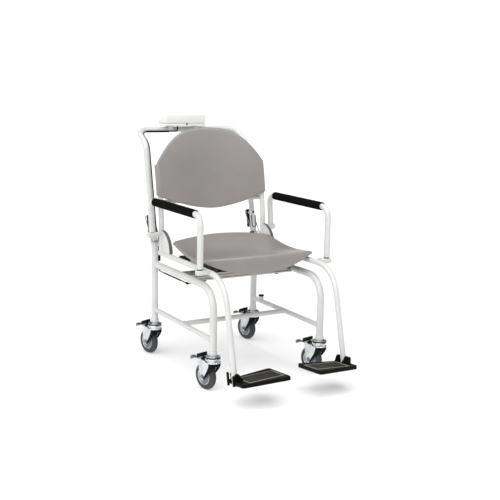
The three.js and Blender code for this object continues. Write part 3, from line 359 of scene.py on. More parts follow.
def tube(
    bm: BMesh,
    corners: Sequence[Sequence[float]],
    bends: Sequence[float],
    radius: float,
    sides: int = TUBE_SIDES,
    plug: float = 1.2,
) -> None:
    """Adds a bent tube: straight runs that are extruded and bends that are spun.

    Args:
        bm: The mesh that gets it.
        corners: Both ends and the corners of its middle line.
        bends: Bend radius at each inner corner.
        radius: Outer radius.
        sides: Number of sides.
        plug: How deep the plug in each end sits.
    """
    line = [Vector(corner) for corner in corners]
    made = bmesh.ops.create_circle(bm, cap_ends=False, radius=radius, segments=sides,
                                   matrix=aimed(line[0], (line[1] - line[0]).normalized()))
    loop = list({edge for vert in made["verts"] for edge in vert.link_edges})
    first = loop
    here = line[0]
    for before, corner, after, bend in zip(line, line[1:], line[2:], bends):
        into = (corner - before).normalized()
        out = (after - corner).normalized()
        angle = into.angle(out)
        reach = bend * math.tan(angle / 2)
        begin = corner - into * reach
        loop = extend(bm, loop, begin - here)
        axis = into.cross(out).normalized()
        verts = list({vert for edge in loop for vert in edge.verts})
        spun = bmesh.ops.spin(bm, geom=[*verts, *loop], cent=begin + axis.cross(into) * bend, axis=axis,
                              dvec=(0, 0, 0), angle=angle, steps=max(2, math.ceil(angle / BEND_STEP)),
                              use_merge=False, use_duplicate=False)
        loop = [item for item in spun["geom_last"] if isinstance(item, BMEdge)]
        here = corner + out * reach
    loop = extend(bm, loop, line[-1] - here)
    for end in (first, loop):
        face = bmesh.ops.edgeloop_fill(bm, edges=end)["faces"]
        if plug:
            bmesh.ops.recalc_face_normals(bm, faces=bm.faces)
            bmesh.ops.inset_individual(bm, faces=face, thickness=min(radius / 4, plug), depth=-plug)


def soften(bm: BMesh, width: float, segments: int = 2, angle: float = 30) -> None:
    """Bevels every edge that is sharper than an angle.

    Args:
        bm: The mesh.
        width: Width of the bevel.
        segments: Number of steps.
        angle: Least angle in degrees.
    """
    bmesh.ops.remove_doubles(bm, verts=bm.verts, dist=MERGE)
    bmesh.ops.recalc_face_normals(bm, faces=bm.faces)
    sharp = [edge for edge in bm.edges
             if len(edge.link_faces) == 2 and edge.calc_face_angle(0) > math.radians(angle)]
    bmesh.ops.bevel(bm, geom=sharp, offset=width, segments=segments, affect="EDGES", profile=0.5,
                    material=-1, clamp_overlap=True)


@contextmanager
def part_of(
    bm: BMesh, width: float, segments: int = 2, angle: float = 30, place: Matrix = Matrix(),
) -> Iterator[BMesh]:
    """Gives a mesh to draw in, then softens it, places it and adds it to another mesh.

    Args:
        bm: The mesh that gets the part.
        width: Width of the bevel.
        segments: Number of its steps.
        angle: Least angle in degrees of the edges that are bevelled.
        place: Where the part goes.

    Yields:
        The mesh to draw in.
    """
    part = bmesh.new()
    yield part
    soften(part, width, segments, angle)
    bmesh.ops.transform(part, matrix=place, verts=part.verts)
    held = bpy.data.meshes.new("held")
    part.to_mesh(held)
    part.free()
    bm.from_mesh(held)
    bpy.data.meshes.remove(held)


def sheet_form(bm: BMesh, columns: int, rows: int, place: Callable[[int, int], Vector]) -> None:
    """Adds a surface of quads whose points come from a rule.

    Args:
        bm: The mesh that gets it.
        columns: Number of columns.
        rows: Number of rows.
        place: Gives the point at a column and a row.
    """
    made = bmesh.ops.create_grid(bm, x_segments=columns, y_segments=rows, size=1.0)
    for vert in made["verts"]:
        vert.co = place(round((vert.co.x + 1) / 2 * columns), round((vert.co.y + 1) / 2 * rows))


@dataclass(frozen=True)
class Columns:
    """The columns of a moulded shell: a flat middle, and at each side a rolled edge and a flange."""

    flat: int
    roll: int
    flange: int

    @property
    def count(self) -> int:
        """Number of columns in all."""
        return self.flat + 2 * (self.roll + self.flange)

    def section(self, column: int, half: float, radius: float, depth: float) -> Pair:
        """Returns a column's place across the shell and its depth behind the face.

        Args:
            column: Number of the column.
            half: Half the shell's width.
            radius: Radius of the rolled edge.
            depth: Depth of the flange's end.
        """
        side = -1 if column < self.count / 2 else 1
        out = min(column, self.count - column)
        if out >= self.roll + self.flange:
            return ((column - self.roll - self.flange) / self.flat * 2 - 1) * (half - radius), 0.0
        if out >= self.flange:
            angle = (self.roll + self.flange - out) / self.roll * QUARTER
            return side * (half - radius + radius * math.sin(angle)), radius * (1 - math.cos(angle))
        return side * half, radius + (depth - radius) * (self.flange - out) / self.flange


def walled(made: bpy.types.Object, wall: float) -> None:
    """Gives a surface its wall, inwards, and rounds its edges.

    Args:
        made: The piece, a surface in metres.
        wall: Thickness in millimetres.
    """
    thick = made.modifiers.new("wall", "SOLIDIFY")
    thick.thickness = wall * MILLIMETRE
    thick.offset = -1.0
    round_over = made.modifiers.new("edges", "BEVEL")
    round_over.width = wall * 0.3 * MILLIMETRE
    round_over.segments = 3
    round_over.limit_method = "ANGLE"
    round_over.angle_limit = math.radians(50)


@dataclass(frozen=True)
class Layout:
    """Sizes that several sub-assemblies share."""

    half_track: float = 243
    half_base: float = 266
    leg_bottom: float = 146
    leg_radius: float = 14
    leg_bend_height: float = 461
    socket_height: float = 499
    side_rail_height: float = 398
    beam_middle: float = -20
    elbow_back: float = 360
    elbow_height: float = 896
    elbow_bend: float = 70
    handle_back: float = 450
    handle_height: float = 950
    handle_radius: float = 12
    handle_bend: float = 48
    seat_rail_height: float = 455
    seat_tube_radius: float = 11
    post_back: float = 200
    post_bend_height: float = 594
    post_lean: float = math.radians(8)
    hanger_corner: float = -346
    hanger_lean: float = math.radians(14)
    hinge_height: float = 112
    plate_tilt: float = math.radians(5)
    arm_out: float = 286
    arm_pivot_height: float = 535
    arm_front: float = -235
    arm_sleeve: float = 28
    caster_rest: float = math.radians(13)
    gap: float = 0.3

    @property
    def handle_lean(self) -> float:
        """Angle that the push handle leans back."""
        return math.atan2(self.elbow_back - self.half_base, self.elbow_height - self.leg_bend_height)

    def lean_along(self, height: float) -> Vector:
        """Returns the handle tube's middle line at a height."""
        run = (height - self.leg_bend_height) * math.tan(self.handle_lean)
        return Vector((self.half_track, self.half_base + run, height))

    def post_along(self, height: float) -> Vector:
        """Returns the back post's middle line at a height."""
        run = max(0.0, height - self.post_bend_height) * math.tan(self.post_lean)
        return Vector((self.half_track, self.post_back + run, height))

    def hanger_along(self, height: float) -> Vector:
        """Returns the footrest hanger's middle line at a height."""
        run = (self.seat_rail_height - height) * math.tan(self.hanger_lean)
        return Vector((self.half_track, self.hanger_corner - run, height))


@dataclass
class Workshop:
    """Turns drawings into pieces that ride on the frame."""

    frame: dict[str, object]
    layout: Layout = field(default_factory=Layout)
    shift: float = field(init=False)

    def __post_init__(self) -> None:
        """Reads from a CAD node how far the part's origin is from the drawing's."""
        low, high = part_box("base_beam")
        self.shift = (low[1] + high[1]) / 2 / MILLIMETRE - self.layout.beam_middle

    def piece(
        self,
        draw: Draw,
        name: str,
        finish: Finish,
        nodes: Sequence[str] = (),
        body: str = "frame",
        place: Matrix = Matrix(),
        sign: int = 1,
        crease: float = 38,
        wall: float = 0,
        outward: Triple | None = None,
    ) -> bpy.types.Object:
        """Makes a drawing a piece of the chair.

        Args:
            draw: Draws the piece in an empty mesh.
            name: The piece's name.
            finish: Its material.
            nodes: CAD nodes that it stands for.
            body: The body that it rides on.
            place: Where the drawing goes.
            sign: Minus one mirrors it to the patient's right.
            crease: Edges sharper than this, in degrees, shade sharp.
            wall: Thickness that an open sheet gets.
            outward: The side that an open sheet faces.

        Returns:
            The piece.
        """
        bm = bmesh.new()
        draw(bm)
        bmesh.ops.transform(bm, matrix=Matrix.Diagonal((sign, 1, 1, 1)) @ place, verts=bm.verts)
        bmesh.ops.remove_doubles(bm, verts=bm.verts, dist=MERGE)
        bmesh.ops.recalc_face_normals(bm, faces=bm.faces)
        if outward and sum(face.normal.dot(Vector(outward)) for face in bm.faces) < 0:
            bmesh.ops.reverse_faces(bm, faces=bm.faces)
        bmesh.ops.translate(bm, vec=(0, self.shift, 0), verts=bm.verts)
        bmesh.ops.scale(bm, vec=(MILLIMETRE,) * 3, verts=bm.verts)
        mesh = bpy.data.meshes.new(name)
        bm.to_mesh(mesh)
        bm.free()
        mesh.materials.append(finish.material())
        mesh.shade_smooth()
        mesh.set_sharp_from_angle(angle=math.radians(crease))
        made = bpy.data.objects.new(name, mesh)
        bpy.context.scene.collection.objects.link(made)
        if wall:
            walled(made, wall)
        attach(made, body)
        if nodes:
            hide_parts(*nodes)
        LOG.info("piece %s on %s", name, body)
        return made

    def pair(
        self, draw: Draw, name: str, finish: Finish, node: str = "", body: str = "", **options: object,
    ) -> list[bpy.types.Object]:
        """Makes a piece on each side from a drawing of the left one.

        Args:
            draw: Draws the left piece in an empty mesh.
            name: The pieces' name, before the side.
            finish: Their material.
            node: Name of the CAD nodes that they stand for, before the side.
            body: Name of the bodies that they ride on, before the side. None is the frame.
            options: The rest of what a piece takes.

        Returns:
            Both pieces.
        """
        return [self.piece(draw, f"{name}_{side}", finish, [f"{node}_{side}"] if node else [],
                           f"{body}_{side}" if body else "frame", sign=sign, **options)
                for side, sign in SIDES]

    def repaint(self, node: str, finish: Finish) -> None:
        """Gives a CAD node that stays in sight its finish."""
        target = self.frame["nodes"][node]
        if not target.material_slots:
            target.data.materials.append(finish.material())
        for place in target.material_slots:
            place.material = finish.material()


@dataclass
class BaseFrame:
    """The frame that stands on the casters."""

    shop: Workshop
    side_bend: float = 90
    leg_bend: float = 60
    stretcher_radius: float = 10
    stretcher_height: float = 201
    level_back: float = 196
    level_radius: float = 12
    level_thickness: float = 7
    level_post: float = 22
    beam_depth: float = 76
    beam_height: float = 28
    grooves: tuple[float, ...] = (0.12, 0.31, 0.5, 0.69, 0.88)
    groove_width: float = 6
    groove_depth: float = 3.6
    slot_rise: float = 5.5
    slot_half: float = 1.6
    cap_out: float = 168
    cap_inset: float = 12
    bead: float = 2.2

    def build(self) -> None:
        """Builds every piece of the base frame."""
        k = self.shop.layout
        self.shop.pair(self._leg, "rear_leg_tube", POWDER, "rear_leg")
        self.shop.pair(self._rail, "side_rail_tube", POWDER, "side_rail")
        self.shop.piece(self._stretchers, "stretcher_weldment", POWDER, ["stretcher_frame"])
        level = placing((k.half_track, self.level_back, self.stretcher_height + self.level_post + k.gap))
        self.shop.piece(self._level_rim, "level_rim", BLACK, ["bubble_level"], place=level)
        self.shop.piece(self._level_window, "level_window", SCREEN, place=level)
        self.shop.piece(self._beam, "base_beam_tube", EXTRUSION, ["base_beam"])
        self.shop.piece(self._beam_caps, "base_beam_bolt_caps", BLACK)

    def _leg(self, bm: BMesh) -> None:
        """Draws a rear leg, the socket of the push handle."""
        k = self.shop.layout
        tube(bm, [(k.half_track, k.half_base, k.leg_bottom), (k.half_track, k.half_base, k.leg_bend_height),
                  k.lean_along(k.socket_height)], [self.leg_bend], k.leg_radius)

    def _rail(self, bm: BMesh) -> None:
        """Draws a side rail, bent down into a front leg."""
        k = self.shop.layout
        tube(bm, [(k.half_track, k.half_base - k.leg_radius / 2, k.side_rail_height),
                  (k.half_track, -k.half_base, k.side_rail_height),
                  (k.half_track, -k.half_base, k.leg_bottom)], [self.side_bend], k.leg_radius)
        self._bead(bm, (k.half_track, k.half_base - k.leg_radius, k.side_rail_height), ALONG_Y, k.leg_radius)

    def _bead(self, bm: BMesh, place: Triple, axis: Vector, radius: float) -> None:
        """Adds a weld bead round the end of a tube.

        Args:
            bm: The mesh that gets it.
            place: Middle of the tube's end.
            axis: Direction of the tube.
            radius: The tube's radius.
        """
        turned(bm, arc((radius, 0), self.bead, 0, FULL_TURN, 8), aimed(place, axis), TUBE_SIDES)

    def _stretchers(self, bm: BMesh) -> None:
        """Draws the two side stretchers, the cross bar and the level's post as one weldment."""
        k = self.shop.layout
        radius, height = self.stretcher_radius, self.stretcher_height
        inner = k.half_base - k.leg_radius / 2
        for _, sign in SIDES:
            x = sign * k.half_track
            tube(bm, [(x, inner, height), (x, -inner, height)], [], radius, plug=0)
            for end in (-1, 1):
                self._bead(bm, (x, end * (k.half_base - k.leg_radius), height), ALONG_Y, radius)
            self._bead(bm, (x - sign * radius, 0, height), ALONG_X, radius)
        reach = k.half_track - radius / 2
        tube(bm, [(-reach, 0, height), (reach, 0, height)], [], radius, plug=0)
        rod(bm, (k.half_track, self.level_back, height),
            (k.half_track, self.level_back, height + self.level_post), self.level_radius - 1, 32)

    def _level_rim(self, bm: BMesh) -> None:
        """Draws the black rim of the round level."""
        r, t = self.level_radius, self.level_thickness
        turned(bm, [(0, 0), (r - 0.8, 0), (r, 0.8), (r, t - 1.6), (r - 1, t - 0.4), (r - 2.4, t),
                    (r - 3.2, t - 0.6), (r - 3.4, t - 2), (0, t - 2)])

    def _level_window(self, bm: BMesh) -> None:
        """Draws the domed window of the round level."""
        r, t = self.level_radius, self.level_thickness
        turned(bm, [(0, t - 2), (r - 3.6, t - 2), (r - 3.8, t - 1), (r - 6, t - 0.4), (0, t - 0.2)])

    def _beam(self, bm: BMesh) -> None:
        """Draws the beam that carries the load cells, an extrusion with lengthwise grooves."""
        k = self.shop.layout
        reach = k.half_track - k.leg_radius / 2
        half, rise, deep = self.beam_depth / 2, self.beam_height / 2, self.groove_depth
        outline = [(-half, -rise)]
        for share in self.grooves:
            left = self.beam_depth * share - half - self.groove_width / 2
            right = left + self.groove_width
            outline += [(left, -rise), (left, deep - rise), (right, deep - rise), (right, -rise)]
        outline.append((half, -rise))
        for middle in (-self.slot_rise, self.slot_rise):
            low, high = middle - self.slot_half, middle + self.slot_half
            outline += [(half, low), (half - deep, low), (half - deep, high), (half, high)]
        outline += [(-a, -b) for a, b in outline]
        plate(bm, [(k.beam_middle + a, k.side_rail_height + b) for a, b in outline], -reach, reach)
        soften(bm, 0.8, 2)

    def _beam_caps(self, bm: BMesh) -> None:
        """Draws the caps on the four bolts under the beam."""
        k = self.shop.layout
        profile = [(0, -5), (6.4, -5), (8, -3.6), (8.4, 0), (0, 0)]
        y = self.beam_depth / 2 - self.cap_inset
        for a, b in ((-1, -1), (-1, 1), (1, -1), (1, 1)):
            place = (a * self.cap_out, k.beam_middle + b * y, k.side_rail_height - self.beam_height / 2)
            turned(bm, profile, placing(place), 28)


@dataclass
class WeighedFrame:
    """The frame that the load cells carry: seat rails, hangers and back posts."""

    shop: Workshop
    rail_back: float = 214
    hanger_bend: float = 130
    hanger_end: float = 72
    post_bend: float = 120
    post_top: float = 764
    bar_height: float = 665
    bar_radius: float = 9
    bar_setback: float = 15
    block_depth: float = 30
    block_top: float = 469.4
    block_height: float = 18
    block_beyond: float = 14
    pin_reach: float = 26.5
    pin_radius: float = 4
    boss_radius: float = 11
    pivot_radius: float = 8
    head_length: float = 5
    run_gap: float = 0.5
    gusset_depth: float = 79
    gusset_height: float = 84
    gusset_thickness: float = 10
    gusset_steps: int = 24
    edge_shade_half: float = 7
    edge_shade_wall: float = 2
    rim_half: float = 8.4
    rim_wall: float = 3

    def build(self) -> None:
        """Builds every piece of the weighed frame."""
        self.shop.pair(self._rail, "seat_rail_tube", POWDER, "seat_rail")
        self.shop.pair(self._pin, "footplate_pin", BLACK)
        self.shop.pair(self._rest, "armrest_rest", POWDER)
        self.shop.pair(self._gusset, "gusset_plate", POWDER, "gusset")
        # The grey strip on each gusset's round edge is painted shade
        self.shop.pair(self._edge_shade, "gusset_edge_shade", EDGE_SHADE)
        self.shop.piece(self._back, "back_frame_weldment", POWDER, ["back_frame"])

    def _rail(self, bm: BMesh) -> None:
        """Draws a seat rail with its hanger."""
        k = self.shop.layout
        tube(bm, [(k.half_track, self.rail_back, k.seat_rail_height),
                  (k.half_track, k.hanger_corner, k.seat_rail_height), k.hanger_along(self.hanger_end)],
             [self.hanger_bend], k.seat_tube_radius)

    def _pin(self, bm: BMesh) -> None:
        """Draws the pin that a footplate hangs on."""
        k = self.shop.layout
        pin = k.hanger_along(k.hinge_height)
        reach = Vector((0, -math.cos(k.plate_tilt), math.sin(k.plate_tilt))) * self.pin_reach
        rod(bm, pin - reach, pin + reach, self.pin_radius)

    def _rest(self, bm: BMesh) -> None:
        """Draws the block that an armrest stands on."""
        k = self.shop.layout
        half = self.block_depth / 2
        inner, low = k.half_track + k.seat_tube_radius - 2, self.block_top - self.block_height
        block(bm, (inner, k.arm_front - half, low),
              (k.arm_out + self.block_beyond, k.arm_front + half, self.block_top))
        soften(bm, 2.5, 3)

    def _back(self, bm: BMesh) -> None:
        """Draws the two posts, their cross bar and the armrests' pivots as one weldment."""
        k = self.shop.layout
        across, boss, pivot = k.half_track, self.boss_radius, self.pivot_radius
        end = k.arm_out - k.arm_sleeve / 2 - self.run_gap
        head = k.arm_out + k.arm_sleeve / 2 + self.run_gap
        tip = head + self.head_length
        profile = [(0, across), (boss, across), (boss, end - 1), (boss - 1, end), (pivot, end), (pivot, head),
                   (boss - 0.6, head), (boss, head + 0.6), (boss, head + 2.6), (boss - 1.6, tip - 0.6),
                   (5, tip), (4.4, tip - 2), (0, head + 3)]
        line = [Vector((across, k.post_back, k.seat_rail_height + k.seat_tube_radius / 2)),
                k.post_along(k.post_bend_height), k.post_along(self.post_top)]
        for _, sign in SIDES:
            flip = Vector((sign, 1, 1))
            tube(bm, [corner * flip for corner in line], [self.post_bend], k.seat_tube_radius)
            turned(bm, profile, placing((0, k.post_back, k.arm_pivot_height), "Y", sign * QUARTER))
        bar_y = k.post_along(self.bar_height).y + self.bar_setback
        tube(bm, [(-across, bar_y, self.bar_height), (across, bar_y, self.bar_height)], [], self.bar_radius)

    def _round_edge(self, wall: float) -> list[Pair]:
        """Returns the round edge of a gusset plate, moved outwards by a wall."""
        k = self.shop.layout
        y, z = k.post_back - k.seat_tube_radius, k.seat_rail_height + k.seat_tube_radius
        angles = (QUARTER * n / self.gusset_steps for n in range(self.gusset_steps + 1))
        return [(y - (self.gusset_depth + wall) * math.cos(a), z + (self.gusset_height + wall) * math.sin(a))
                for a in angles]

    def _gusset(self, bm: BMesh) -> None:
        """Draws the quarter-round plate before a back post, with the two rims on either side of the grey
        strip that paints its edge's shade.
        """
        k = self.shop.layout
        y = k.post_back - k.seat_tube_radius
        z = k.seat_rail_height + k.seat_tube_radius
        edge = self._round_edge(0)
        half = self.gusset_thickness / 2
        plate(bm, [(y + 2, z - 2), (y - self.gusset_depth, z - 2), *edge, (y + 2, z + self.gusset_height)],
              k.half_track - half, k.half_track + half)
        rim = [*edge, *reversed(self._round_edge(self.rim_wall))]
        for low, high in ((-self.rim_half, -self.edge_shade_half), (self.edge_shade_half, self.rim_half)):
            plate(bm, rim, k.half_track + low, k.half_track + high)
        soften(bm, 0.9, 3, 50)

    def _edge_shade(self, bm: BMesh) -> None:
        """Draws the grey strip on a gusset plate's round edge: painted shade of that edge."""
        middle = self.shop.layout.half_track
        plate(bm, [*self._round_edge(0), *reversed(self._round_edge(self.edge_shade_wall))],
              middle - self.edge_shade_half, middle + self.edge_shade_half)
        soften(bm, 0.5, 2, 50)


@dataclass
class Seat:
    """The moulded seat pan, with rolled sides and a crescent lip."""

    shop: Workshop
    ridge: float = -181
    rear: float = 133
    half_front: float = 249
    half_rear: float = 229
    height: float = 493
    sag: float = 10
    dish: float = 6
    rise_side: float = 26
    rise_middle: float = 48
    corner_setback: float = 13
    wall: float = 5
    rim: float = 12
    rim_radius: float = 8
    rim_fade: float = 0.75
    lip_drop: float = 67
    lip_bulge: float = 27
    lip_crease: float = 1.4
    lip_power: float = 2.2
    corner_drop: float = 7
    corner_bulge: float = 5
    tail: float = 9
    tail_round: float = 0.9
    columns: Columns = Columns(44, 8, 2)
    lip_rows: int = 24
    pan_rows: int = 36

    def build(self) -> None:
        """Builds the seat pan."""
        self.shop.piece(self._surface, "seat_pan", SHELL, ["seat_shell"], crease=60, wall=self.wall,
                        outward=(0, 0, 1))

    def _surface(self, bm: BMesh) -> None:
        """Draws the pan's upper surface."""
        sheet_form(bm, self.columns.count, self.lip_rows + self.pan_rows, self._point)

    def _top(self, u: float, s: float) -> float:
        """Returns the seat's height at a share across and a share back."""
        swing = math.sin(math.pi * min(s, 1))
        edge = self.height - self.sag * swing + self.rise_side * s * s
        middle = self.height - (self.sag + self.dish) * swing + self.rise_middle * s ** 3
        return middle + (edge - middle) * u * u

    def _point(self, i: int, j: int) -> Vector:
        """Returns the pan's point at a column and a row."""
        length = self.rear - self.ridge
        s = max(0, j - self.lip_rows) / self.pan_rows
        half = self.half_front + (self.half_rear - self.half_front) * s
        x, down = self.columns.section(i, half, self.rim_radius, self.rim)
        u = x / half
        turn = min(j, self.lip_rows) / self.lip_rows * QUARTER
        ahead = max(0.0, math.cos(turn)) ** self.lip_crease
        below = 1 - math.sin(turn) ** self.lip_crease
        fade = max(0.0, 1 - abs(u) ** self.lip_power)
        y = self.ridge + (length - self.corner_setback * u * u) * s
        y -= (self.corner_bulge + (self.lip_bulge - self.corner_bulge) * fade) * ahead
        z = self._top(u, s) - (self.corner_drop + (self.lip_drop - self.corner_drop) * fade) * below
        tail = max(0.0, self.tail - length * (1 - s)) / self.tail
        down *= 1 - self.rim_fade * ahead
        down += self.tail * (1 - math.sqrt(1 - tail * tail * self.tail_round))
        return Vector((x, y, z - down))


@dataclass
class Backrest:
    """The moulded backrest, which wraps round the posts."""

    shop: Workshop
    side_low: float = 694
    side_high: float = 816
    middle_low: float = 632
    middle_high: float = 966
    low_power: float = 1.7
    hollow: float = 24
    hollow_low: float = 0.35
    clear: float = 3
    roll: float = 32
    roll_power: float = 2.2
    shoulder: float = 0.25
    wall: float = 4
    radius: float = 16
    flange: float = 20
    edge: float = 7
    edge_rows: int = 7
    columns: Columns = Columns(60, 8, 3)
    rows: int = 54

    def build(self) -> None:
        """Builds the backrest."""
        self.shop.piece(self._surface, "backrest", SHELL, ["backrest_shell"], crease=60, wall=self.wall,
                        outward=(0, -1, 0))

    def _surface(self, bm: BMesh) -> None:
        """Draws the backrest's front surface."""
        sheet_form(bm, self.columns.count, self.rows, self._point)

    def _point(self, i: int, j: int) -> Vector:
        """Returns the backrest's point at a column and a row."""
        k = self.shop.layout
        half = k.half_track + k.seat_tube_radius + 2 * k.gap + self.wall
        spread = k.half_track - 2 * k.seat_tube_radius
        x, back = self.columns.section(i, half, self.radius, self.flange)
        u = abs(x) / half
        low = self.middle_low + (self.side_low - self.middle_low) * u ** self.low_power
        arch = 1 - u ** 3 * (1 + self.shoulder * (1 - u))
        high = self.side_high + (self.middle_high - self.side_high) * arch
        near = min(j, self.rows - j)
        inset = self.edge
        if near < self.edge_rows:
            inset *= 1 - math.cos(QUARTER * near / (self.edge_rows - 1))
            z = low + inset if j < self.rows / 2 else high - inset
        else:
            along = (j - self.edge_rows) / (self.rows - 2 * self.edge_rows)
            z = low + self.edge + (high - low - 2 * self.edge) * along
        v = (z - low) / (high - low)
        rounded = self.edge - math.sqrt(max(0.0, self.edge ** 2 - (self.edge - inset) ** 2))
        depth = self.hollow_low + (1 - self.hollow_low) * math.sin(math.pi * v)
        hollow = self.hollow * depth * 0.5 * (1 + math.cos(math.pi * min(1.0, abs(x) / spread)))
        lean = max(0.0, (z - self.side_low) / (self.middle_high - self.side_low)) ** self.roll_power
        face = k.post_along(z).y - k.seat_tube_radius - self.clear - self.wall + self.roll * lean
        return Vector((x, face + hollow + max(back, rounded), z))


@dataclass
class Armrests:
    """The two armrests, each a bent tube with a foam grip, which lift about a pivot."""

    shop: Workshop
    radius: float = 12
    height: float = 674
    leg_end: float = 474
    front_bend: float = 44
    rear_bend: float = 36
    rear_back: float = 217
    sleeve_radius: float = 13
    bore: float = 8.4
    grip_radius: float = 17
    grip_rear: float = 172
    cap_floor: float = 469.7
    cap_radius: float = 11.7
    cap_height: float = 4.2

    def build(self) -> None:
        """Builds both armrests."""
        k = self.shop.layout
        self.shop.pair(self._arm, "armrest_bent_tube", POWDER, "armrest_tube", "armrest")
        front = placing((k.arm_out, k.arm_front + self.front_bend, self.height), "X", -QUARTER)
        for made in self.shop.pair(self._grip, "armrest_foam", FOAM, "armrest_grip", "armrest", place=front,
                                   crease=60):
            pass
        self.shop.pair(self._cap, "armrest_foot", BLACK, "armrest_cap", "armrest",
                       place=placing((k.arm_out, k.arm_front, self.cap_floor)))

    def _arm(self, bm: BMesh) -> None:
        """Draws the bent tube and the sleeve that turns on the pivot."""
        k = self.shop.layout
        tube(bm, [(k.arm_out, k.arm_front, self.leg_end), (k.arm_out, k.arm_front, self.height),
                  (k.arm_out, self.rear_back, self.height),
                  (k.arm_out, k.post_back, k.arm_pivot_height + self.sleeve_radius - 2)],
             [self.front_bend, self.rear_bend], self.radius)
        half, r, b = k.arm_sleeve / 2, self.sleeve_radius, self.bore
        turned(bm, [(b, -half), (r - 0.8, -half), (r, -half + 0.8), (r, half - 0.8), (r - 0.8, half),
                    (b, half), (b, -half)],
               placing((k.arm_out, k.post_back, k.arm_pivot_height), "Y", QUARTER))

    def _grip(self, bm: BMesh) -> None:
        """Draws a foam grip: a sleeve with soft, slightly drawn-in ends."""
        k = self.shop.layout
        length = self.grip_rear - k.arm_front - self.front_bend
        g, r = self.grip_radius, self.radius + 0.2
        ends = [(r, 0.6), (r + 1.5, 0.0), (g - 2.6, 0.2), (g - 1.1, 1.0), (g - 0.3, 2.8), (g - 0.2, 6.0)]
        swell = [(g - 0.25 + 0.25 * math.sin(math.pi * n / 12), 12 + (length - 24) * n / 12)
                 for n in range(13)]
        turned(bm, [*ends, *swell, *[(a, length - b) for a, b in reversed(ends)], ends[0]], sides=48)

    def _cap(self, bm: BMesh) -> None:
        """Draws the cap on the foot of an armrest."""
        c, top = self.cap_radius, self.cap_height
        turned(bm, [(0, 0), (c - 1.4, 0), (c, 1.4), (c, top), (0, top)])


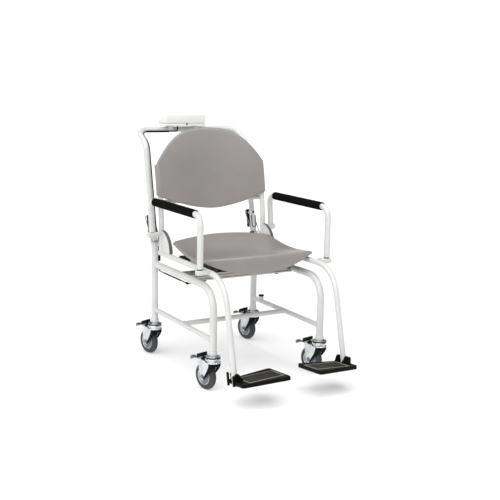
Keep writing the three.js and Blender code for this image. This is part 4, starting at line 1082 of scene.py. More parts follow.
@dataclass
class Casters:
    """The four braked swivel casters, each drawn about its swivel's axis with the wheel behind."""

    shop: Workshop
    wheel_radius: float = 54
    wheel_sides: int = 18
    wheel_half: float = 13
    trail: float = 40
    head_radius: float = 20
    head_height: float = 10
    race_radius: float = 28.5
    bush_height: float = 13.5
    kingpin_radius: float = 6
    crown_radius: float = 30
    crown_height: float = 20
    fork_plate: float = 3
    fork_gap: float = 3
    eye_radius: float = 15
    fork_rear: float = 64
    roof_rear: float = 48
    ear_rise: float = 7
    axle_radius: float = 5
    guard_gap: float = 3
    guard_end: float = 97
    guard_wall: float = 4
    guard_rear: float = 12
    pivot_back: float = 57
    pivot_height: float = 115
    pivot_radius: float = 2.5
    barrel_radius: float = 4.8
    pedal_half: float = 12
    pad_bars: int = 4
    wheel_ribs: int = 8

    @property
    def axle_height(self) -> float:
        """Height of the axle, with a flat of the many-sided solid on the floor."""
        return self.wheel_radius * math.cos(math.pi / self.wheel_sides)

    @property
    def axle(self) -> Matrix:
        """Placement of forms turned about the axle."""
        return placing((0, self.trail, self.axle_height), "Y", QUARTER)

    @property
    def head_low(self) -> float:
        """Height of the head's lower face."""
        k = self.shop.layout
        return k.leg_bottom - k.gap - self.head_height

    @property
    def crown_top(self) -> float:
        """Height of the fork's top face."""
        return self.head_low - 0.5

    @property
    def fork_inner(self) -> float:
        """Distance of the fork's plates from the middle."""
        return self.wheel_half + self.fork_gap

    @property
    def fork_outer(self) -> float:
        """Half the fork's width."""
        return self.fork_inner + self.fork_plate

    def build(self) -> None:
        """Builds the four casters."""
        k = self.shop.layout
        parts = (
            (self._head, "caster_head", PLATE, "head", ""), (self._seal, "race_seal", BLACK, "", ""),
            (self._bush, "leg_bush", POWDER, "", ""), (self._fork, "caster_fork", PLATE, "fork", "swivel"),
            (self._nuts, "axle_nuts", STEEL, "", "swivel"),
            (self._guard, "thread_guard", BLACK, "guard", "swivel"),
            (self._tyre, "tyre", TYRE, "wheel", "roller"), (self._centre, "wheel_centre", HUB, "", "roller"),
            (self._rings, "wheel_rings", PLATE, "", "roller"),
            (self._pad, "pedal_pad", BLACK, "pedal", "brake"),
            (self._lever, "pedal_lever", STEEL, "", "brake"))
        for end, y in (("front", -k.half_base), ("rear", k.half_base)):
            for side, sign in SIDES:
                place = placing((sign * k.half_track, y, 0), "Z", k.caster_rest)
                name = f"{end}_{side}"
                for draw, label, finish, node, body in parts:
                    self.shop.piece(draw, f"{name}_{label}", finish, [f"{name}_{node}"] if node else [],
                                    f"{name}_{body}" if body else "frame", place)

    def _head(self, bm: BMesh) -> None:
        """Draws the ring that is fixed in the leg."""
        low = self.head_low
        high = low + self.head_height
        r, neck = self.race_radius, self.head_radius
        turned(bm, [(7, low), (r - 1.6, low), (r - 1.6, low + 3.9), (r, low + 4.1), (r, low + 5.2),
                    (r - 1.2, low + 6.0), (neck, low + 6.6), (neck - 4, high - 0.6), (14, high), (11.5, high),
                    (11.5, high + 20), (0, high + 20), (0, low + 8), (7, low + 8), (7, low)], sides=56)

    def _seal(self, bm: BMesh) -> None:
        """Draws the black seal round the ball race, under the head's flange."""
        low, r = self.head_low, self.race_radius
        turned(bm, [(r - 1.6, low + 0.1), (r - 0.3, low + 0.1), (r + 0.3, low + 0.7), (r + 0.3, low + 3.6),
                    (r - 0.1, low + 4.0), (r - 1.6, low + 4.0), (r - 1.6, low + 0.1)], sides=56)

    def _bush(self, bm: BMesh) -> None:
        """Draws the white ring pushed on the foot of the leg."""
        k = self.shop.layout
        low, high = k.leg_bottom - 0.2, k.leg_bottom + self.bush_height
        bore, r = k.leg_radius + 0.05, k.leg_radius + 2.6
        turned(bm, [(bore, low), (r - 0.7, low), (r, low + 0.7), (r, high - 1.2), (r - 1.2, high),
                    (bore, high), (bore, low)], sides=48)

    def _fork(self, bm: BMesh) -> None:
        """Draws the pressed fork with its crown, axle bolt and pedal pin."""
        top, c, king = self.crown_top, self.crown_radius, self.kingpin_radius
        low = top - self.crown_height
        inner, outer, rear = self.fork_inner, self.fork_outer, self.fork_rear
        neck, drum = c - 4.5, c - 0.5
        turned(bm, [(0, low), (c - 1, low), (c, low + 1), (c, low + 3.2), (c - 1, low + 4.2),
                    (neck + 0.8, low + 5.2), (neck, low + 6), (neck, low + 8), (drum - 1.2, low + 9.4),
                    (drum, low + 10.8), (drum, top - 3.4), (drum - 1, top - 1.8), (c - 6, top), (7, top),
                    (king, top + 1), (king, top + 7), (5, top + 8), (0, top + 8)], sides=56)
        roof_top = low + self.fork_plate
        ear = self.ear_rise
        ear_top = self.pivot_height + ear
        outline = [(-c / 2, roof_top), (self.roof_rear, roof_top), (self.roof_rear, ear_top),
                   *arc((rear - ear, ear_top - ear), ear, math.pi * 0.42, 0, 6), (rear, low - 11),
                   *arc((self.trail, self.axle_height), self.eye_radius, 0, -math.pi, 16), (-c / 2, low - 4)]
        with part_of(bm, 0.9, 2, 40) as roof:
            block(roof, (-outer, 0, low), (outer, self.roof_rear, roof_top))
            plate(roof, outline, -outer, -inner)
            plate(roof, outline, inner, outer)
        for y, z, radius, sides in ((self.trail, self.axle_height, self.axle_radius, 24),
                                    (self.pivot_back, self.pivot_height, self.pivot_radius, 20)):
            rod(bm, (-outer, y, z), (outer, y, z), radius, sides)
        for sign in (-1, 1):
            turned(bm, [(0, -1), (3.8, -1), (3.8, 0.2), (3.2, 1.1), (1.8, 1.7), (0, 1.9)],
                   placing((sign * outer, self.pivot_back, self.pivot_height), "Y", sign * QUARTER), 20)

    def _nuts(self, bm: BMesh) -> None:
        """Draws the axle's two nuts and their washers."""
        y, z = self.trail, self.axle_height
        for sign in (-1, 1):
            for start, end, radius, sides in ((-1, 1, 9.4, 28), (0.6, 4, 8, 6)):
                with part_of(bm, 0.5) as nut:
                    rod(nut, (sign * (self.fork_outer + start), y, z), (sign * (self.fork_outer + end), y, z),
                        radius, sides)

    def _guard(self, bm: BMesh) -> None:
        """Draws the thread guard over the front of the wheel, with its two side arms."""
        reach = self.wheel_radius + self.guard_gap
        high = self.crown_top - self.crown_height - 0.3
        start = math.pi - math.asin((self.guard_end - self.axle_height) / reach)
        end = math.pi - math.acos((self.trail - self.guard_rear) / reach)
        c, t, h = self.crown_radius, self.trail, self.axle_height
        outline = [(self.guard_rear, high), (-c * 0.74, high), (-c * 0.86, high - 4), (-c * 0.88, high - 10),
                   (-c * 0.5, self.guard_end + 1.5),
                   (t + (reach + self.guard_wall) * math.cos(start), self.guard_end),
                   *arc((t, h), reach, start, end, 16)]
        half = self.fork_inner - 0.3
        plate(bm, outline, -half, half)
        soften(bm, 2.2, 3, 35)
        arm_outline = [(-c * 0.68, high - 1), (c * 0.05, high - 1), (t - 36, h + 44), (t - 27, h + 26),
                       (t - 16, h + 9), (t - 7, h - 8), (t - 8, h - 11), (t - 11, h - 11), (t - 24, h + 4),
                       (t - 38, h + 20), (t - 52, h + 36), (-c * 0.68, high - 12)]
        for sign in (-1, 1):
            with part_of(bm, 0.8) as arm:
                plate(arm, arm_outline, sign * (self.fork_outer + 0.2), sign * (self.fork_outer + 2.6))

    def _tyre(self, bm: BMesh) -> None:
        """Draws the tyre, with a crowned tread and a moulded line on each wall."""
        r, h = self.axle_height, self.wheel_half
        side = [(34.2, h - 3.2), (34.8, h - 0.9), (36.2, h - 0.2), (38.8, h), (40.8, h - 0.5),
                (41.7, h - 1.2), (43.0, h - 0.7), (46.8, h - 1.6), (49.9, h - 3.8), (51.8, h - 7),
                (r - 0.15, h - 10), (r, 0)]
        profile = [*[(a, -b) for a, b in side], *reversed(side[:-1]), (34.2, -h + 3.2)]
        turned(bm, profile, self.axle, 72)

    def _centre(self, bm: BMesh) -> None:
        """Draws the wheel's centre: a rim, a web with ribs and a hub with a bearing cover."""
        h = self.wheel_half
        side = [(5.3, h), (8.5, h), (9.2, h - 0.7), (9.6, h - 1.6), (12.5, h - 1.8), (13.4, h - 2.4),
                (14.4, h - 5.4), (27.6, h - 6.2), (29.4, h - 3.0), (30.4, h - 1.3), (32.6, h - 0.8),
                (34.0, h - 1.4), (34.1, h - 3.2)]
        turned(bm, [*[(a, -b) for a, b in side], *reversed(side), (5.3, -h)], self.axle, 60)
        for n in range(self.wheel_ribs):
            place = self.axle @ Matrix.Rotation(FULL_TURN * n / self.wheel_ribs, 4, "Z")
            with part_of(bm, 0.6, 1, place=place) as rib:
                block(rib, (-1.1, 12.5, -h + 3.2), (1.1, 29.5, h - 3.2))

    def _rings(self, bm: BMesh) -> None:
        """Draws the two thin steel rings let into the wheel centre, one on each side."""
        h = self.wheel_half
        ring = [(29.6, h - 3.4), (29.8, h - 1.4), (30.6, h - 0.6), (32.0, h - 0.4), (32.4, h - 1.2),
                (29.6, h - 3.4)]
        for sign in (-1, 1):
            turned(bm, [(a, sign * b) for a, b in ring], self.axle, 60)

    def _pad(self, bm: BMesh) -> None:
        """Draws the black tread pad of the brake pedal."""
        w = self.pedal_half
        plate(bm, [(48.4, 131), (47, 132.4), (47, 144.4), (48.4, 146), (50.4, 145.4), (80.4, 133.2),
                   (82, 131.2), (82, 118.6), (80.6, 117.4)], -w, w)
        soften(bm, 1.6, 3, 28)
        for n in range(self.pad_bars):
            y = 53.5 + 7.5 * n
            z = 146 - (y - 47) * 0.4
            with part_of(bm, 0.5, 1) as bar:
                block(bar, (-w + 2.5, y - 1.1, z - 1.5), (w - 2.5, y + 1.1, z + 0.3))

    def _lever(self, bm: BMesh) -> None:
        """Draws the plated lever under the pad, with its neck, its barrel, its shoe and its upturned tip."""
        half = self.pedal_half - 1.5
        plate(bm, [(54.5, 117.5), (48.6, 130.4), (80, 117.6), (84, 118.4), (112, 114.4), (114, 115.4),
                   (115, 116), (121, 116), (122, 115), (122, 105), (121, 104), (115, 104), (114, 105),
                   (114, 109.4), (112, 110.4), (84, 115), (60, 112.6)], -half, half)
        soften(bm, 0.7, 2, 30)
        reach = self.fork_inner - 0.5
        rod(bm, (-reach, self.pivot_back, self.pivot_height), (reach, self.pivot_back, self.pivot_height),
            self.barrel_radius)
        with part_of(bm, 0.8) as shoe:
            plate(shoe, [(57, 114), (70, 116), (69.4, 105), (64.6, 105)], -8, 8)


@dataclass
class Footplates:
    """The two footplates, each a ribbed mat in a frame, drawn about its hinge on the hanger."""

    shop: Workshop
    inner_edge: float = 64
    outer_reach: float = 12
    ahead: float = 106.5
    behind: float = 53.5
    drop: float = 16
    taper: float = 26
    thickness: float = 14
    rise: float = math.radians(3)
    corner: float = 14
    corner_steps: int = 6
    border: float = 13
    run_gap: float = 1
    ear_gap: float = 34
    ear_thickness: float = 8
    ear_radius: float = 10.6
    ear_foot: float = 24
    ear_shift: float = 7.4
    post_near: float = 11.6
    post_far: float = 18.8
    post_front: Pair = (-34, 6)
    post_rear: Pair = (-37, 13)
    line: float = 4.5
    ribs: int = 13
    rib_share: float = 0.28
    recess: float = 1.8

    @property
    def inner(self) -> float:
        """Where the plate's inner edge lies from the hinge."""
        return self.inner_edge - self.shop.layout.half_track

    @property
    def field(self) -> tuple[float, float, float, float]:
        """The mat's inner, outer, front and rear edges."""
        clear = self.shop.layout.seat_tube_radius + self.run_gap
        return (self.inner + self.border, -clear - self.border, -self.ahead + self.taper + self.border,
                self.behind - self.taper - self.border)

    def build(self) -> None:
        """Builds both footplates."""
        k = self.shop.layout
        tilt = placing(k.hanger_along(k.hinge_height), "X", -k.plate_tilt)
        place = tilt @ Matrix.Rotation(self.rise, 4, "Y")
        self.shop.pair(self._tray, "footplate_frame", BLACK, "footplate", "footrest", place=place)
        self.shop.pair(self._mat, "footplate_mat", MAT, "", "footrest", place=place)
        self.shop.pair(self._line, "footplate_line", PALE_LINE, "", "footrest", place=place)

    def _outline(self) -> list[Pair]:
        """Returns the plate's outline, with rounded corners."""
        front, outer = -self.ahead, self.outer_reach
        corners = [Vector(point) for point in ((self.inner, front), (outer, front + self.taper),
                                               (outer, self.behind - self.taper), (self.inner, self.behind))]
        points: list[Pair] = []
        for n, here in enumerate(corners):
            first = here + (corners[n - 1] - here).normalized() * self.corner
            last = here + (corners[(n + 1) % 4] - here).normalized() * self.corner
            for step in range(self.corner_steps + 1):
                t = step / self.corner_steps
                points.append(tuple(first * (1 - t) ** 2 + here * 2 * t * (1 - t) + last * t * t))
        return points

    def _tray(self, bm: BMesh) -> None:
        """Draws the moulded frame of a footplate, with its hinge ears and the stop posts beside them."""
        top, r, wide, deep = -self.drop, self.ear_radius, self.ear_gap / 2, self.ear_thickness
        plate(bm, self._outline(), top, top - self.thickness, 2)
        bmesh.ops.recalc_face_normals(bm, faces=bm.faces)
        upper = max(bm.faces, key=lambda item: item.calc_center_median().z)
        bmesh.ops.inset_individual(bm, faces=[upper], thickness=2.6, depth=0)
        bmesh.ops.inset_individual(bm, faces=[upper], thickness=0.8, depth=-1.6)
        soften(bm, 1.2, 3, 50)
        near, far = self.post_near, self.post_far
        with part_of(bm, 1.2, 3, 40) as ears:
            for y, middle, (low, high) in ((-wide - deep, 0.0, self.post_front),
                                           (wide, -self.ear_shift, self.post_rear)):
                plate(ears, [(-self.ear_foot, top - 3), (middle + r, top - self.thickness + 2),
                             *arc((middle, 0), r, 0, math.pi, 16), (-self.ear_foot, top)], y, y + deep, 1)
                plate(ears, [(near, low), (far, low), (far, high - 3), (far - 3, high), (near + 3, high),
                             (near, high - 3)], y, y + deep, 1)
        rod(bm, (0, -wide - deep - 1.5, 0), (0, -wide - deep + 1, 0), r - 2.4, 28, 1.1)

    def _line(self, bm: BMesh) -> None:
        """Draws the raised line round the mat."""
        inner, outer, front, rear = self.field
        top, line = -self.drop, self.line
        for low, high in (((inner - line, front - line), (outer + line, front)),
                          ((inner - line, rear), (outer + line, rear + line)),
                          ((inner - line, front), (inner, rear)), ((outer, front), (outer + line, rear))):
            block(bm, (*low, top - self.recess), (*high, top + 0.1))
        soften(bm, 0.4, 1)

    def _mat(self, bm: BMesh) -> None:
        """Draws the mat's ribs, which run across."""
        inner, outer, front, rear = self.field
        pitch = (rear - front) / self.ribs
        for n in range(self.ribs):
            y = front + (n + 0.5) * pitch
            block(bm, (inner + 2, y - pitch * self.rib_share, -self.drop - self.recess),
                  (outer - 2, y + pitch * self.rib_share, -self.drop - 0.5))
        soften(bm, 0.5, 1)


@dataclass
class PushHandle:
    """The push handle and the two draw latches that hold it in the legs.

    The latches are drawn about the leaning tube: Y out behind it and Z up along it.
    """

    shop: Workshop
    insert: float = 24
    pivot_out: float = 30
    pivot_up: float = 129.88
    ear_half: float = 4
    collar_height: float = 14
    collar_wall: float = 3
    collar_lip: float = 4
    hook_half: float = 8
    lever_half: float = 8
    lever_above: float = 16
    lever_below: float = 61
    cheek: float = 2.2
    bail_wire: float = 3.5
    bail_half: float = 19
    bail_above: float = 12
    bail_bend: float = 6
    clip_wire: float = 1.7
    clip_angle: float = math.radians(46)
    clip_low: float = 62
    clip_high: float = 116
    facets: int = 12

    @property
    def socket(self) -> float:
        """Height of the leg's open end along the leaning tube."""
        k = self.shop.layout
        return (k.socket_height - k.leg_bend_height) / math.cos(k.handle_lean)

    @property
    def bore(self) -> float:
        """Radius inside the collar, clear of the leg's facets."""
        k = self.shop.layout
        return (k.leg_radius + k.gap) / math.cos(math.pi / self.facets)

    @property
    def neck(self) -> float:
        """Radius inside the collar's lip, clear of the handle's facets."""
        k = self.shop.layout
        return (k.handle_radius + k.gap) / math.cos(math.pi / self.facets)

    @property
    def outer(self) -> float:
        """Outer radius of the collar."""
        return self.bore + self.collar_wall

    def build(self) -> None:
        """Builds the handle and both latches."""
        place = self._leant(1)
        self.shop.piece(self._handle, "push_handle_tube", POWDER, ["push_handle"])
        self.shop.pair(self._collar, "latch_collar_ring", POWDER, "latch_collar", place=place)
        self.shop.pair(self._clip, "latch_spring_clip", BLACK, place=place)
        self.shop.piece(self._seal, "latch_collar_seal", BLACK, place=place)
        self.shop.pair(self._lever, "latch_lever_arm", BLACK, "latch_lever", "latch", place=place)
        self.shop.pair(self._bail, "latch_wire", STEEL, "latch_bail", "bail", place=place)

    def _leant(self, sign: int) -> Matrix:
        """Returns the frame of the leaning tube on a side."""
        k = self.shop.layout
        return placing((sign * k.half_track, k.half_base, k.leg_bend_height), "X", -k.handle_lean)

    def _handle(self, bm: BMesh) -> None:
        """Draws the bent tube with the two ears that carry the levers."""
        k = self.shop.layout
        line = [k.lean_along(k.socket_height - self.insert),
                Vector((k.half_track, k.elbow_back, k.elbow_height)),
                Vector((k.half_track, k.handle_back, k.handle_height))]
        flip = Vector((-1, 1, 1))
        tube(bm, [*[corner * flip for corner in line], *reversed(line)],
             [k.elbow_bend, k.handle_bend, k.handle_bend, k.elbow_bend], k.handle_radius)
        r, out, up = k.handle_radius, self.pivot_out, self.pivot_up
        ear_outline = [(r - 2, up - 9), (r + 3, up - 6), (out - 2, up - self.ear_half),
                       *arc((out, up), self.ear_half, -QUARTER, QUARTER, 8), (r + 3, up + 6), (r - 2, up + 9)]
        for _, sign in SIDES:
            with part_of(bm, 0.8, 2, 40, self._leant(sign)) as ear:
                plate(ear, ear_outline, -4.8, 4.8)

    def _collar(self, bm: BMesh) -> None:
        """Draws the collar on a leg and the hook that holds the bail."""
        gap = self.shop.layout.gap
        bore, outer, neck, socket = self.bore, self.outer, self.neck, self.socket
        low, top = socket - self.collar_height, socket + self.collar_lip
        turned(bm, [(bore, low), (outer - 1, low), (outer, low + 1), (outer, top - 1.4), (outer - 1.4, top),
                    (neck, top), (neck, socket + gap), (bore, socket + gap), (bore, low)])
        under = self._bail_low()[1] + self.bail_wire / 2 + gap
        with part_of(bm, 1) as hook:
            plate(hook, [(-bore - 0.3, under), (-outer, under), (-outer - 7, under + 3.5),
                         (-outer - 7, under + 7), (-bore - 0.3, under + 10)], -self.hook_half, self.hook_half)

    def _seal(self, bm: BMesh) -> None:
        """Draws the black seal over the collar's top, which only the left one still has."""
        top, outer, neck = self.socket + self.collar_lip, self.outer, self.neck
        turned(bm, [(outer + 0.02, top - 8), (outer + 0.45, top - 7.6), (outer + 0.45, top + 0.6),
                    (outer - 1, top + 2), (neck, top + 2), (neck, top + 0.05), (outer - 1.3, top + 0.05),
                    (outer + 0.02, top - 1.3), (outer + 0.02, top - 8)])

    def _bail_low(self) -> Pair:
        """Returns where the bail's lower run lies, under the hook."""
        return -(self.outer + self.shop.layout.gap + self.bail_wire / 2), self.socket - self.collar_height / 2

    def _bail(self, bm: BMesh) -> None:
        """Draws the wire bail."""
        up = (self.pivot_out, self.pivot_up + self.bail_above)
        down = self._bail_low()
        reach, tip = self.bail_half, self.lever_half - 2
        tube(bm, [(tip, *up), (reach, *up), (reach, *down), (-reach, *down), (-reach, *up), (-tip, *up)],
             [self.bail_bend] * 4, self.bail_wire / 2, 16, plug=0)

    def _lever(self, bm: BMesh) -> None:
        """Draws a lever: two cheeks, a web behind them and a rolled finger tab."""
        half, out, up = self.lever_half, self.pivot_out, self.pivot_up
        foot = up - self.lever_below
        cheek = [(out - 3, up + 10), (out - 2, up + 14), (out + 1, up + self.lever_above),
                 (out + 8.7, up + 16), (out + 8.7, foot), (out + 4.7, foot), (out + 2, up - 34),
                 (out - 3, up - 22)]
        core = [(out - 3, up - 10), (out - 3, up - 22), (out + 1, up - 36), (out + 3.5, up - 60),
                (out + 6, up - 64), (out + 6, up - 10)]
        web = [(out + 4.7, up + 16), (out + 8.7, up + 16), (out + 8.7, foot), (out + 4.7, foot)]
        for outline, low, high in ((cheek, -half, self.cheek - half), (cheek, half - self.cheek, half),
                                   (core, 0.4 - half, half - 0.4), (web, -half, half)):
            plate(bm, outline, low, high)
        soften(bm, 0.7, 2, 40)
        rod(bm, (-half, out + 5.2, foot + 6), (half, out + 5.2, foot + 6), 6.2, 28)
        rod(bm, (-half - 0.8, out, up), (half + 0.8, out, up), 2, 20)

    def _clip(self, bm: BMesh) -> None:
        """Draws the U-shaped spring wire on the front of the tube, and the rivet above it."""
        r = self.shop.layout.handle_radius
        reach = r + self.clip_wire + 0.1
        side, back = reach * math.sin(self.clip_angle), -reach * math.cos(self.clip_angle)
        low, high = self.clip_low, self.clip_high
        tube(bm, [(-side, back, high), (-side, back, low + 6), (0, -reach, low), (side, back, low + 6),
                  (side, back, high)], [5, 4, 5], self.clip_wire, 12, plug=0)
        turned(bm, [(0, r - 1), (5, r - 1), (5, r + 0.6), (4.2, r + 1.8), (2.2, r + 2.6), (0, r + 2.8)],
               placing((0, 0, self.pivot_up), "X", QUARTER), 24)


@dataclass
class Display:
    """The display on the handle bar: a tray, a wedge cover, a window and three keys."""

    shop: Workshop
    width: float = 195
    depth: float = 82
    front_height: float = 52
    rear_height: float = 21
    offset: float = -30
    front: float = 410
    foot: float = 4
    tray_height: float = 10
    saddle_width: float = 20
    saddle_spacing: float = 124
    saddle_wall: float = 6

    @property
    def low(self) -> float:
        """Height of the tray's lower face."""
        k = self.shop.layout
        return k.handle_height + k.handle_radius + self.foot

    def build(self) -> None:
        """Builds the display."""
        socket = (self.offset + 4, self.front + 0.3, self.low + self.tray_height - 2.4)
        self.shop.piece(self._tray, "display_lower_case", HOUSING, ["display_tray"])
        self.shop.piece(lambda bm: turned(bm, [(0, 0), (4, 0), (4, 0.7), (3.2, 1), (0, 1)], sides=24),
                        "display_charge_socket", BLACK, place=placing(socket, "X", QUARTER))
        self.shop.piece(self._cover, "display_upper_case", HOUSING, ["display_cover"])
        self.shop.repaint("display_lens", SCREEN)
        for number in (1, 2, 3):
            self.shop.repaint(f"display_key_{number}", KEY)

    def _tray(self, bm: BMesh) -> None:
        """Draws the tray and the two saddles that hold it on the bar."""
        k = self.shop.layout
        half = self.width / 2
        block(bm, (self.offset - half, self.front, self.low),
              (self.offset + half, self.front + self.depth, self.low + self.tray_height))
        soften(bm, 3, 4)
        reach = k.handle_radius + self.saddle_wall
        for sign in (-1, 1):
            x = self.offset + sign * self.saddle_spacing / 2
            with part_of(bm, 2, 3) as saddle:
                block(saddle, (x - self.saddle_width / 2, k.handle_back - reach, k.handle_height - 3),
                      (x + self.saddle_width / 2, k.handle_back + reach, self.low + 2))

    def _cover(self, bm: BMesh) -> None:
        """Draws the wedge cover."""
        bottom = self.low + self.tray_height + self.shop.layout.gap
        rear = self.front + self.depth
        plate(bm, [(self.front, bottom), (rear, bottom), (rear, self.low + self.rear_height),
                   (self.front, self.low + self.front_height)],
              self.offset - self.width / 2, self.offset + self.width / 2)
        soften(bm, 6, 5)


@dataclass
class SignalCable:
    """The cable from the display to the load cells, held along the handle and the leg."""

    shop: Workshop
    radius: float = 2.28
    clear: float = 2
    exit_out: float = 60
    exit_height: float = 965.7
    bend: float = 10
    collar_radius: float = 17.8
    drop: float = 368
    end_back: float = -15
    end_out: float = 212
    end_height: float = 383.7
    side: float = math.radians(30)
    plug_radius: float = 3.8
    plug_low: float = 410
    plug_high: float = 454

    def build(self) -> None:
        """Builds the cable, its connector on the leg, its gland and its sleeves."""
        self.shop.piece(self._sheath, "signal_cable_sheath", SHEATH, ["display_cable"], crease=60)
        self.shop.piece(self._fittings, "signal_cable_fittings", BLACK)

    def _beside(self, radius: float) -> float:
        """Returns how far out the cable lies beside a tube of a radius on the patient's right."""
        return radius + self.clear + self.shop.layout.gap - self.shop.layout.half_track

    def _bar_run(self) -> Pair:
        """Returns how far back and how high the cable runs along the handle bar."""
        k = self.shop.layout
        reach = k.handle_radius + self.clear + k.gap
        return k.handle_back - reach * math.cos(self.side), k.handle_height - reach * math.sin(self.side)

    def _sheath(self, bm: BMesh) -> None:
        """Draws the cable."""
        k = self.shop.layout
        on_handle, on_leg = self._beside(k.handle_radius), self._beside(k.leg_radius)
        on_collar = self._beside(self.collar_radius)
        bar_back, bar_height = self._bar_run()
        exit_back = k.handle_back - (k.handle_radius + self.clear + k.gap) - 2
        corners = [(-self.exit_out, exit_back, self.exit_height), (-self.exit_out, exit_back, bar_height),
                   (-self.exit_out - 3 * self.bend, bar_back, bar_height), (on_handle, bar_back, bar_height),
                   (on_handle, k.elbow_back - 4, k.elbow_height)]
        corners += [(x, k.lean_along(height).y, height)
                    for x, height in ((on_handle, 523), (on_collar, 513), (on_collar, 475))]
        corners += [(on_leg, k.half_base, 465), (on_leg, k.half_base, self.drop),
                    (on_leg, self.end_back, self.drop), (-self.end_out, self.end_back, self.drop),
                    (-self.end_out, self.end_back, self.end_height)]
        bends = [self.bend, self.bend, k.handle_bend - (k.handle_radius + self.clear + k.gap), k.elbow_bend,
                 *[self.bend] * 4, 2 * self.bend, self.bend / 2, self.bend / 2]
        tube(bm, corners, bends, self.radius, 16, plug=0)

    def _fittings(self, bm: BMesh) -> None:
        """Draws the connector on the leg, the gland under the load cell and the sleeves on the cable."""
        k = self.shop.layout
        on_leg = self._beside(k.leg_radius)
        bar_back, bar_height = self._bar_run()
        x, y = on_leg + 3.4, k.half_base - 5
        rod(bm, (x, y, self.plug_low), (x, y, self.plug_high), self.plug_radius)
        soften(bm, 0.9, 2, 50)
        rod(bm, (-self.end_out, self.end_back, 379), (-self.end_out, self.end_back, 384.2), 4.6, 6)
        sleeves = (((-100, bar_back - 1.2, bar_height - 1.6), (-214, bar_back - 1.2, bar_height - 1.6), 3.4),
                   ((on_leg, 207, self.drop), (on_leg, 48, self.drop), 3.1),
                   ((on_leg, -2, self.drop), (on_leg, -15, self.drop), 4.6))
        for start, end, radius in sleeves:
            with part_of(bm, 0.9, 2, 50) as sleeve:
                rod(sleeve, start, end, radius, 20)


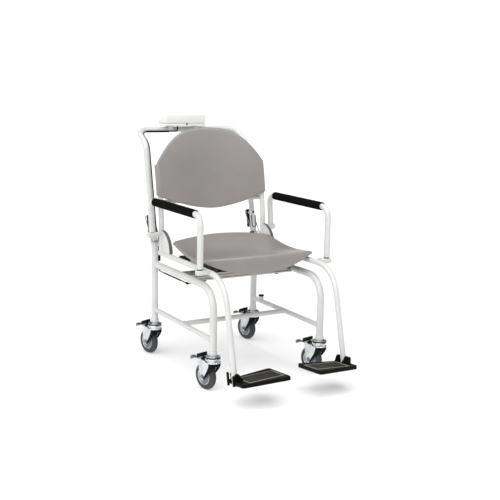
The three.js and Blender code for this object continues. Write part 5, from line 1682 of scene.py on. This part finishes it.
@dataclass
class Studio:
    """Floor, light and camera."""

    shop: Workshop
    eye: Triple = (-1804, -3190, 1168)
    forward: Triple = (0.497, 0.8482, -0.1832)
    roll: float = math.radians(1.18)
    focal: float = 911.4
    picture: float = 500
    sensor: float = 36
    floor_reach: float = 60000
    floor_colour: str = "#e8e8e8"
    floor_glow: float = 0.32
    band_full: float = math.radians(7)
    band_end: float = math.radians(15)
    band_strength: float = 1.05
    sky_strength: float = 0.06
    overhead: Triple = (0.5, 0.3, -1.0)
    overhead_spread: float = math.radians(90)
    overhead_power: float = 3.8
    box_aim: Triple = (0, 0, 800)
    boxes: tuple[tuple[str, Triple, float, float], ...] = (
        ("key_box", (-2100, -2300, 2300), 1300, 12), ("sheen_box", (650, -650, 2150), 800, 10))

    def build(self) -> None:
        """Builds the studio."""
        self._camera()
        self._floor()
        self._sky()
        self._lamps()
        scene = bpy.context.scene
        scene.view_settings.view_transform = "Standard"
        scene.view_settings.look = "None"

    def _put(self, name: str, data: bpy.types.ID, matrix: Matrix = Matrix()) -> bpy.types.Object:
        """Returns a new object at a place in the scene."""
        made = bpy.data.objects.new(name, data)
        made.matrix_world = matrix
        bpy.context.scene.collection.objects.link(made)
        return made

    def _camera(self) -> None:
        """Places the camera where the photograph was taken from."""
        ahead = Vector(self.forward).normalized()
        right = ahead.cross(Vector((0, 0, 1))).normalized()
        up = right.cross(ahead)
        right, up = (right * math.cos(self.roll) + up * math.sin(self.roll),
                     up * math.cos(self.roll) - right * math.sin(self.roll))
        turn = Matrix((right, up, -ahead)).transposed().to_4x4()
        data = bpy.data.cameras.new("view")
        data.sensor_width = self.sensor
        data.lens = self.focal / self.picture * self.sensor
        place = (Vector(self.eye) + ALONG_Y * self.shop.shift) * MILLIMETRE
        bpy.context.scene.camera = self._put("view", data, Matrix.Translation(place) @ turn)

    def _floor(self) -> None:
        """Lays the pale floor."""
        bm = bmesh.new()
        bmesh.ops.create_grid(bm, x_segments=1, y_segments=1, size=self.floor_reach * MILLIMETRE)
        mesh = bpy.data.meshes.new("studio_floor")
        bm.to_mesh(mesh)
        bm.free()
        material = bpy.data.materials.new("studio_floor")
        tree = empty_tree(material)
        shader = add_node(tree, "ShaderNodeBsdfPrincipled", values={
            "Base Color": linear(self.floor_colour), "Roughness": 0.2, "IOR": 1.4,
            "Emission Color": (1, 1, 1, 1), "Emission Strength": self.floor_glow})
        add_node(tree, "ShaderNodeOutputMaterial", links={"Surface": shader.outputs["BSDF"]})
        mesh.materials.append(material)
        floor = self._put("studio_floor", mesh)

    def _sky(self) -> None:
        """Puts a bright band round the horizon under a dim sky."""
        world = bpy.data.worlds.new("studio")
        bpy.context.scene.world = world
        tree = empty_tree(world)
        place = add_node(tree, "ShaderNodeTexCoord").outputs["Generated"]
        height = add_node(tree, "ShaderNodeSeparateXYZ", links={0: place}).outputs["Z"]
        fall = add_node(tree, "ShaderNodeMapRange", values={
            "From Min": math.sin(self.band_full), "From Max": math.sin(self.band_end),
            "To Min": self.band_strength, "To Max": self.sky_strength}, links={"Value": height})
        sky = add_node(tree, "ShaderNodeBackground", values={"Color": (1, 1, 1, 1)},
                       links={"Strength": fall.outputs["Result"]})
        add_node(tree, "ShaderNodeOutputWorld", links={"Surface": sky.outputs["Background"]})

    def _lamps(self) -> None:
        """Lights the scene softly from above and from two boxes."""
        data = bpy.data.lights.new("overhead", "SUN")
        data.angle = self.overhead_spread
        data.energy = self.overhead_power
        self._put("overhead", data, aimed((0, 0, 0), Vector(self.overhead), "-Z"))
        for name, place, size, power in self.boxes:
            data = bpy.data.lights.new(name, "AREA")
            data.shape = "SQUARE"
            data.size = size * MILLIMETRE
            data.energy = power
            start = Vector(place) * MILLIMETRE
            self._put(name, data, aimed(start, Vector(self.box_aim) * MILLIMETRE - start, "-Z"))


def main() -> None:
    """Builds the dressed chair scale in its studio."""
    logging.basicConfig(level=logging.INFO)
    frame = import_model()
    shop = Workshop(frame)
    Studio(shop).build()
    for part in (BaseFrame, WeighedFrame, Seat, Backrest, Armrests, Casters, Footplates, PushHandle, Display,
                 SignalCable):
        part(shop).build()
    # The cross bar and load cells get a dark grey that partly paints the shade under the seat
    for node, finish in (("seat_beam", EXTRUSION), ("seat_cross_bar", DARK_ANODISE_AND_SHADE), ("load_cell_left", DARK_ANODISE_AND_SHADE),
                         ("load_cell_right", DARK_ANODISE_AND_SHADE)):
        shop.repaint(node, finish)


if __name__ == "__main__":
    main()
